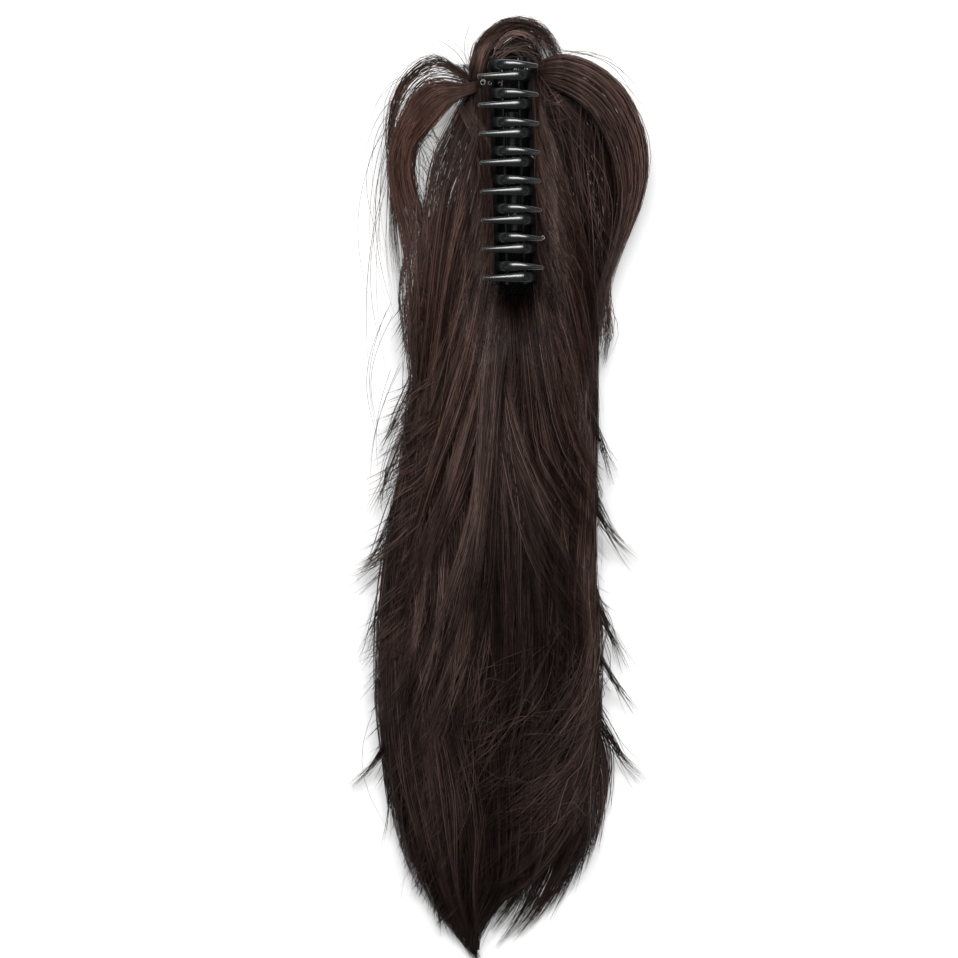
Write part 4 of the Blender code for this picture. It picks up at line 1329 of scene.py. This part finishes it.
def claw_tooth(bm, claw, side, place, reach, slant):
    """One tooth: up from the wall, over the middle in an arch, and down to a rounded point."""
    crown = claw.wall * CROWNS[side]
    rise = claw.height - claw.wall_top
    wall_steps, arch_steps, tip_steps, sides = 3, 18, 12, 20
    seated, thinning = 0.15, 0.4
    root = claw.half_width - claw.thickness * seated
    drop = TIP_DROPS[side]
    path = []
    for i in range(wall_steps):
        depth = claw.wall * (wall_steps - i) / 2
        path.append(Vector((root, place, PIN.z + claw.wall_top - depth)))
    for i in range(arch_steps + 1):
        angle = math.pi / 2 * i / arch_steps
        x = crown + (root - crown) * math.cos(angle) ** claw.squareness
        z = PIN.z + claw.wall_top + rise * math.sin(angle) ** claw.squareness
        path.append(Vector((x, place, z)))
    for i in range(1, tip_steps + 1):
        t = i / tip_steps
        x = crown - (reach + crown) * t
        path.append(Vector((x, place - slant * t, PIN.z + claw.height - drop * t * t)))
    widths, heights = [], []
    for point in path:
        share = max(0.0, (claw.taper_from - point.x) / (claw.taper_from + reach))
        widths.append((claw.root_width + (claw.tip_width - claw.root_width) * share) / 2)
        heights.append(claw.thickness / 2 * (1 - thinning * share))
    rounded_end(path, widths, heights)
    path = [Vector((side * p.x, p.y, p.z)) for p in path]
    sweep(bm, path, widths, heights, sides, wide_axis=(0, 1, 0))


def thread_curl(bm, place, radius, turns, lean):
    """A loose end of clear thread, curled up on itself."""
    steps, sides, closing = int(14 * turns), 8, 0.45
    path = []
    for i in range(steps + 1):
        angle = 2 * math.pi * turns * i / steps + lean
        reach = radius * (1 - closing * i / steps)
        rise = radius * 0.5 * math.sin(angle * 0.5)
        curl = Vector((reach * math.cos(angle), reach * math.sin(angle), rise))
        path.append((Vector(place) + curl) * MM)
    widths = [THREAD_RADIUS] * len(path)
    sweep(bm, path, widths, widths, sides)


def claw_wall_line(claw, side, steps=14):
    """The curve of a jaw's wall, from beside the pin up to the teeth's roots."""
    start = (JAW_RADIUS + claw.wall / 2) * math.sqrt(0.5)
    line = []
    for i in range(steps + 1):
        angle = math.radians(-90 + 90 * i / steps)
        x = start + (claw.half_width - start) * math.cos(angle)
        z = PIN.z + claw.wall_top + (claw.wall_top - start) * math.sin(angle)
        line.append(Vector((side * x, 0, z)))
    return line


def plate_along(bm, line, thickness, start, end, rounding):
    """A strip of an X-Z line with a thickness, run along Y, with its long edges rounded."""
    left, right = [], []
    for i, point in enumerate(line):
        along = (line[min(i + 1, len(line) - 1)] - line[max(i - 1, 0)]).normalized()
        offset = Vector((-along.z, 0, along.x)) * thickness / 2
        left.append(point + offset)
        right.append(point - offset)
    verts = [bm.verts.new((p.x, start, p.z)) for p in left + right[::-1]]
    face = bm.faces.new(verts)
    made = bmesh.ops.extrude_face_region(bm, geom=[face], use_keep_orig=True)
    moved = [v for v in made["geom"] if isinstance(v, bmesh.types.BMVert)]
    bmesh.ops.translate(bm, vec=(0, end - start, 0), verts=moved)
    own = set(verts) | set(moved)
    sharp = [
        e for e in bm.edges
        if e.verts[0] in own and e.verts[1] in own and len(e.link_faces) == 2
        and e.calc_face_angle(0) > math.radians(60)
    ]
    bmesh.ops.bevel(
        bm, geom=sharp, offset=rounding, affect="EDGES", segments=3, profile=0.5, material=-1
    )


def claw_jaw(claw, side, reach, first_tooth):
    """One half of the claw as a smooth moulding."""
    bm = bmesh.new()
    wall, rounding = claw_wall_line(claw, side), claw.wall * WALL_ROUNDING
    plate_along(bm, wall, claw.wall, JAW_LOW.y, JAW_HIGH.y, rounding)
    for i in range(claw.teeth):
        slant = claw.slant if side < 0 else 0.0
        claw_tooth(bm, claw, side, first_tooth - i * claw.pitch, reach, slant)
    first = SPRING_ROOM / 2 + SIDE_GAP + KNUCKLE_LENGTH / 2
    step = KNUCKLE_LENGTH + SIDE_GAP
    for place in ([first + step, -first] if side > 0 else [first, -first - step]):
        turn = Matrix.Translation((0, place, PIN.z)) @ Matrix.Rotation(math.pi / 2, 4, "X")
        bmesh.ops.create_cone(
            bm, cap_ends=True, segments=40, radius1=KNUCKLE_RADIUS, radius2=KNUCKLE_RADIUS,
            depth=KNUCKLE_LENGTH, matrix=turn,
        )
        ends = KNUCKLE_RADIUS * WEB_FROM, JAW_RADIUS * WEB_TO
        web = [PIN + Vector((side * away, 0, away)) for away in ends]
        low, high = place - KNUCKLE_LENGTH / 2, place + KNUCKLE_LENGTH / 2
        plate_along(bm, web, claw.wall * WEB_THICKNESS, low, high, claw.wall * WEB_ROUNDING)
    angle = math.radians(LEVER_ANGLE)
    end_x, end_z = LEVER_REACH * math.cos(angle), -LEVER_REACH * math.sin(angle)
    out = JAW_RADIUS + claw.wall / 2
    start = out * math.sqrt(0.5)
    line = [PIN + Vector((side * start, 0, start)), PIN + Vector((side * out, 0, 0))]
    lever_steps = 7
    for i in range(1, lever_steps + 1):
        share = i / lever_steps
        z = end_z * share + LEVER_THICKNESS * math.sin(math.pi * share)
        line.append(PIN + Vector((side * (out + (end_x - out) * share), 0, z)))
    rounding = LEVER_THICKNESS * LEVER_ROUNDING
    plate_along(bm, line, LEVER_THICKNESS, -LEVER_WIDTH / 2, LEVER_WIDTH / 2, rounding)
    return bm


class HAIRPIECE_OT_claw(bpy.types.Operator):
    """Make both jaws of the claw as smooth black mouldings"""

    bl_idname = "hairpiece.claw"
    bl_label = "Claw"

    # Where the painted shade on the teeth's gloss starts and where it is full, from the middle to the
    # wall.
    BRIGHT_TO, DULL_FROM = 0.1, 0.95
    SHARP_ANGLE = 48

    def execute(self, context):
        claw = context.scene.hairpiece_claw
        plastic = finish_named("claw_plastic", plastic_finish)
        span = (claw.teeth - 1) * claw.pitch + claw.stagger
        for name, side, reach, first in (
            ("left", -1, abs(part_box("jaw_left")[1].x), span / 2),
            ("right", 1, abs(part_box("jaw_right")[0].x), span / 2 - claw.stagger),
        ):
            mesh = mesh_from(f"claw_{name}", claw_jaw(claw, side, reach - claw.tip_width / 2, first))
            mesh.set_sharp_from_angle(angle=math.radians(self.SHARP_ANGLE))
            # Painted shade: each point's share of the dull, nearly unreflecting surface, rising towards
            # the wall.
            dull = mesh.attributes.new("dull", "FLOAT", "POINT")
            for i, vert in enumerate(mesh.vertices):
                share = ease(self.BRIGHT_TO, self.DULL_FROM, side * vert.co.x / claw.half_width)
                dull.data[i].value = claw.painted_wall_shade * float(share)
            link_piece(f"claw_{name}", mesh, plastic, f"{name}_jaw", "plastic", f"jaw_{name}")
            bm = bmesh.new()
            for x, y, z, radius, turns, lean in THREADS[name]:
                thread_curl(bm, (x, y, z), radius, turns, lean)
            thread = mesh_from(f"thread_{name}", bm)
            nylon = finish_named("clear_thread", thread_finish)
            link_piece(f"thread_{name}", thread, nylon, f"{name}_jaw", "plastic", f"jaw_{name}")
        return {"FINISHED"}


class HAIRPIECE_OT_hinge(bpy.types.Operator):
    """Finish the pin, the spring and the net"""

    bl_idname = "hairpiece.hinge"
    bl_label = "Hinge and net"

    def execute(self, context):
        wire = finish_named("near_black_wire", wire_finish)
        for node in ("hinge_pin", "spring"):
            self._refinish(node, wire)
        self._refinish("net_base", finish_named("sewn_net", net_finish))
        return {"FINISHED"}

    def _refinish(self, node, material):
        obj = frame["nodes"][node]
        for slot in obj.material_slots:
            slot.material = material


class HAIRPIECE_OT_under(bpy.types.Operator):
    """Make the dark body of hair that lies under the strands"""

    bl_idname = "hairpiece.under"
    bl_label = "Under hair"

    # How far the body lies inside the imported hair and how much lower, and the grooves along it.
    INSET = 1.6
    DROP = 2.0
    GROOVE, GROOVES = 0.5, 37.0
    # How far down the tail, and how far left and right the body may reach there.
    ENDS = (
        (-70, -17, 60), (-38, -19, 60), (-25, -24, 60), (-10, -31, 60), (4, -36, 60), (18, -40, 60),
        (32, -43, 60), (60, -47, 60), (110, -55, 60), (150, -60.5, 60), (200, -65.8, 60),
        (262, -65.8, 60), (285, -60, 22), (300, -54, 12), (312, -47, -2), (322, -39, -14),
        (334, -31, -24.3), (344, -27.5, -25.2),
    )

    def execute(self, context):
        form = hair_form()
        grooves = self.GROOVE * np.sin(form.angles * self.GROOVES)
        bm = bmesh.new()
        last = None
        down, left_ends, right_ends = np.array(self.ENDS, float).T
        for y in form.stations[form.stations > -down[-1]][1::2]:
            place = np.full(len(form.angles), y)
            ring = clear_of_clip(form.around(place, form.angles, grooves - self.INSET))
            ring[:, 2] = np.maximum(ring[:, 2] - self.DROP, LEAST_HEIGHT)
            left, right = np.interp(-y, down, left_ends), np.interp(-y, down, right_ends)
            ring[:, 0] = np.clip(ring[:, 0], left, right)
            verts = [bm.verts.new(Vector(point) * MM) for point in ring]
            edges = [bm.edges.new((verts[i - 1], verts[i])) for i in range(len(verts))]
            if last:
                bmesh.ops.bridge_loops(bm, edges=last + edges)
            else:
                bmesh.ops.contextual_create(bm, geom=edges)
            last = edges
        bmesh.ops.contextual_create(bm, geom=last)
        mesh = mesh_from("tail_under", bm)
        material = finish_named("hair_under", under_hair_finish)
        link_piece("tail_under", mesh, material, HAIR_BODY, "hair", "hair_tail")
        return {"FINISHED"}


class HAIRPIECE_OT_tail(bpy.types.Operator):
    """Lay the tail's sheets of strands, its shell and its flicks"""

    bl_idname = "hairpiece.tail"
    bl_label = "Tail strands"

    # A piece is closed once it has this many triangles.
    FULL = 130000
    SEED = 11
    SHELL_STRANDS = 1600
    END_LOCK_WIDTH, END_LOCK_STRANDS, END_LOCK_STRAY = 10.0, 40, 2.0
    # Tone, warmth, and width against a usual strand.
    SHELL = (-0.15, 0.25, 1.0)
    FLICK = (-0.1, 0.35, 1.1)
    END_LOCK = (-0.1, 0.45, 1.25)
    WISP = (0.0, 0.6, 1.3)
    CROSSING = (0.8, 0.25, 0.74)
    FLYAWAY = (-0.4, 0.4, 0.9)

    def execute(self, context):
        hair = context.scene.hairpiece_hair
        form = hair_form()
        rng = np.random.default_rng(self.SEED)
        self.made, self.strands = 0, StrandMesh()
        paths, lock = shell_strands(rng, form, int(self.SHELL_STRANDS * hair.density))
        self._add(rng, hair, paths, lock, *self.SHELL)
        self._flush("tail_shell")
        for sheet in TAIL_SHEETS.values():
            paths, lock, depth = tail_sheet(rng, form, sheet, hair.density)
            root = sheet.get("root", TAIL_ROOT_SHADE)
            self._add(rng, hair, paths, lock, sheet["tone"], sheet["warm"], depth=depth, root=root)
            if self.strands.triangles() > self.FULL:
                self._flush("tail_sheets")
        self._flush("tail_sheets")
        for path, width, count, stray in FLICKS.values():
            paths, lock = flick_strands(rng, path, width, int(count * hair.density), stray)
            self._add(rng, hair, paths, lock, *self.FLICK)
        count = int(self.END_LOCK_STRANDS * hair.density)
        for row in END_LOCKS:
            path = end_lock(row)
            paths, lock = flick_strands(rng, path, self.END_LOCK_WIDTH, count, self.END_LOCK_STRAY)
            self._add(rng, hair, paths, lock, *self.END_LOCK)
        paths, lock = edge_wisps(rng, form)
        self._add(rng, hair, paths, lock, *self.WISP)
        self._flush("tail_flicks")
        paths, lock = loose_hairs(rng, form)
        self._add(rng, hair, paths, lock, *self.CROSSING)
        paths, lock = flyaways(rng, form)
        self._add(rng, hair, paths, lock, *self.FLYAWAY, root=0.0)
        self._flush("loose_hairs")
        return {"FINISHED"}

    def _add(self, rng, hair, paths, lock, tone, warm, slim=1.0, depth=None, root=TAIL_ROOT_SHADE):
        tone, warmth = tones(rng, lock, tone, warm, depth)
        radii = strand_radii(rng, paths, hair.strand_width * slim, tone)
        self.strands.add(paths, radii, shaded(paths, tone, root), warmth)

    def _flush(self, name):
        if self.strands.total:
            self.made += 1
            strand_piece(f"{name}_{self.made}", self.strands, "hair_tail")
        self.strands = StrandMesh()


class HAIRPIECE_OT_loops(bpy.types.Operator):
    """Lay the loops of hair round the clip"""

    bl_idname = "hairpiece.loops"
    bl_label = "Loops"

    SEED = 23
    USUAL_LIT = 0.6
    # Each piece's node and its sheets.
    PIECES = {
        "loop_right_strands": (
            "hair_loop_right", ("right_outer", "right_hollow", "right_sweep", "right_strip"),
        ),
        "loop_left_strands": ("hair_loop_left", ("left_band", "left_veil", "left_thin")),
        "loop_top_strands": (
            "hair_loop_top", ("top_band", "top_under", "top_ring", "root_end", "end_arch"),
        ),
    }

    def execute(self, context):
        hair = context.scene.hairpiece_hair
        form = hair_form()
        rng = np.random.default_rng(self.SEED)
        for name, (node, sheets) in self.PIECES.items():
            strands = StrandMesh()
            for key in sheets:
                sheet = LOOP_SHEETS[key]
                paths, lock = loop_sheet(rng, form, sheet, hair.density)
                depth = rng.normal(0, sheet.get("lit", self.USUAL_LIT), len(lock))
                tone, warmth = tones(rng, lock, sheet["tone"], sheet["warm"], depth)
                radii = strand_radii(rng, paths, hair.strand_width, tone)
                strands.add(paths, radii, shaded(paths, tone, LOOP_ROOT_SHADE), warmth)
            strand_piece(name, strands, node)
        return {"FINISHED"}


class HAIRPIECE_OT_stage(bpy.types.Operator):
    """Set the floor, the lights and the camera"""

    bl_idname = "hairpiece.stage"
    bl_label = "Stage"

    # The picture's middle on the floor, and how far the picture is turned from the clip.
    AIM = (-0.01873, -0.13461)
    ROLL_DEG = 1.6
    SENSOR_WIDTH = 36.0
    CLIP_END = 100.0
    FLOOR_SIZE = 4.0
    SKY = 0.11
    # Place and size in metres, and power in watts.
    LIGHTS = {
        "key_light": ((0.05, 0.98, 1.95), (2.0, 0.9), 56.0),
        "side_light": ((-1.5, -0.4, 0.9), (0.8, 0.8), 0.8),
        "far_light": ((1.5, -0.5, 0.9), (0.8, 0.8), 0.8),
    }

    def execute(self, context):
        stage = context.scene.hairpiece_stage
        bm = bmesh.new()
        bmesh.ops.create_grid(bm, x_segments=8, y_segments=8, size=self.FLOOR_SIZE)
        floor = bpy.data.objects.new("floor", mesh_from("floor", bm))
        floor.data.materials.append(finish_named("pale_floor", floor_finish))
        context.scene.collection.objects.link(floor)
        for name, light in self.LIGHTS.items():
            self._light(name, *light)
        world = bpy.data.worlds.new("studio")
        world.use_nodes = True
        sky = world.node_tree.nodes["Background"]
        sky.inputs["Color"].default_value = (1.0, 1.0, 1.0, 1.0)
        sky.inputs["Strength"].default_value = self.SKY
        context.scene.world = world
        context.scene.view_settings.view_transform = "Standard"
        self._camera(context, stage)
        return {"FINISHED"}

    def _light(self, name, place, size, power):
        data = bpy.data.lights.new(name, "AREA")
        data.shape = "RECTANGLE"
        data.size, data.size_y = size
        data.energy = power
        light = bpy.data.objects.new(name, data)
        light.location = place
        aim = Vector((self.AIM[0], self.AIM[1], 0)) - light.location
        light.rotation_euler = aim.to_track_quat("-Z", "Y").to_euler()
        bpy.context.scene.collection.objects.link(light)

    def _camera(self, context, stage):
        data = bpy.data.cameras.new("camera")
        data.sensor_width = self.SENSOR_WIDTH
        data.lens = data.sensor_width * stage.camera_height / stage.view_width
        data.clip_end = self.CLIP_END
        camera = bpy.data.objects.new("camera", data)
        camera.location = (*self.AIM, stage.camera_height)
        camera.rotation_euler = (0, 0, -math.radians(self.ROLL_DEG))
        context.scene.collection.objects.link(camera)
        context.scene.camera = camera


OPERATORS = (
    HAIRPIECE_OT_stage,
    HAIRPIECE_OT_claw,
    HAIRPIECE_OT_hinge,
    HAIRPIECE_OT_under,
    HAIRPIECE_OT_tail,
    HAIRPIECE_OT_loops,
)


class HAIRPIECE_PT_panel(bpy.types.Panel):
    bl_idname = "HAIRPIECE_PT_panel"
    bl_label = "Hairpiece"
    bl_space_type = "VIEW_3D"
    bl_region_type = "UI"
    bl_category = "Hairpiece"

    def draw(self, context):
        for group in ("hairpiece_hair", "hairpiece_claw", "hairpiece_stage"):
            box = self.layout.box()
            settings = getattr(context.scene, group)
            for name in settings.bl_rna.properties.keys():
                if name not in ("rna_type", "name"):
                    box.prop(settings, name)
        for operator in OPERATORS:
            self.layout.operator(operator.bl_idname)


SETTINGS = {
    "hairpiece_hair": HairSettings,
    "hairpiece_claw": ClawSettings,
    "hairpiece_stage": StageSettings,
}


def register():
    for cls in (*SETTINGS.values(), *OPERATORS, HAIRPIECE_PT_panel):
        bpy.utils.register_class(cls)
    for name, cls in SETTINGS.items():
        setattr(bpy.types.Scene, name, PointerProperty(type=cls))


def unregister():
    for name in SETTINGS:
        delattr(bpy.types.Scene, name)
    for cls in reversed((*SETTINGS.values(), *OPERATORS, HAIRPIECE_PT_panel)):
        bpy.utils.unregister_class(cls)


def main():
    register()
    bpy.ops.hairpiece.stage()
    bpy.ops.hairpiece.claw()
    bpy.ops.hairpiece.hinge()
    bpy.ops.hairpiece.under()
    bpy.ops.hairpiece.tail()
    bpy.ops.hairpiece.loops()


if __name__ == "__main__":
    main()
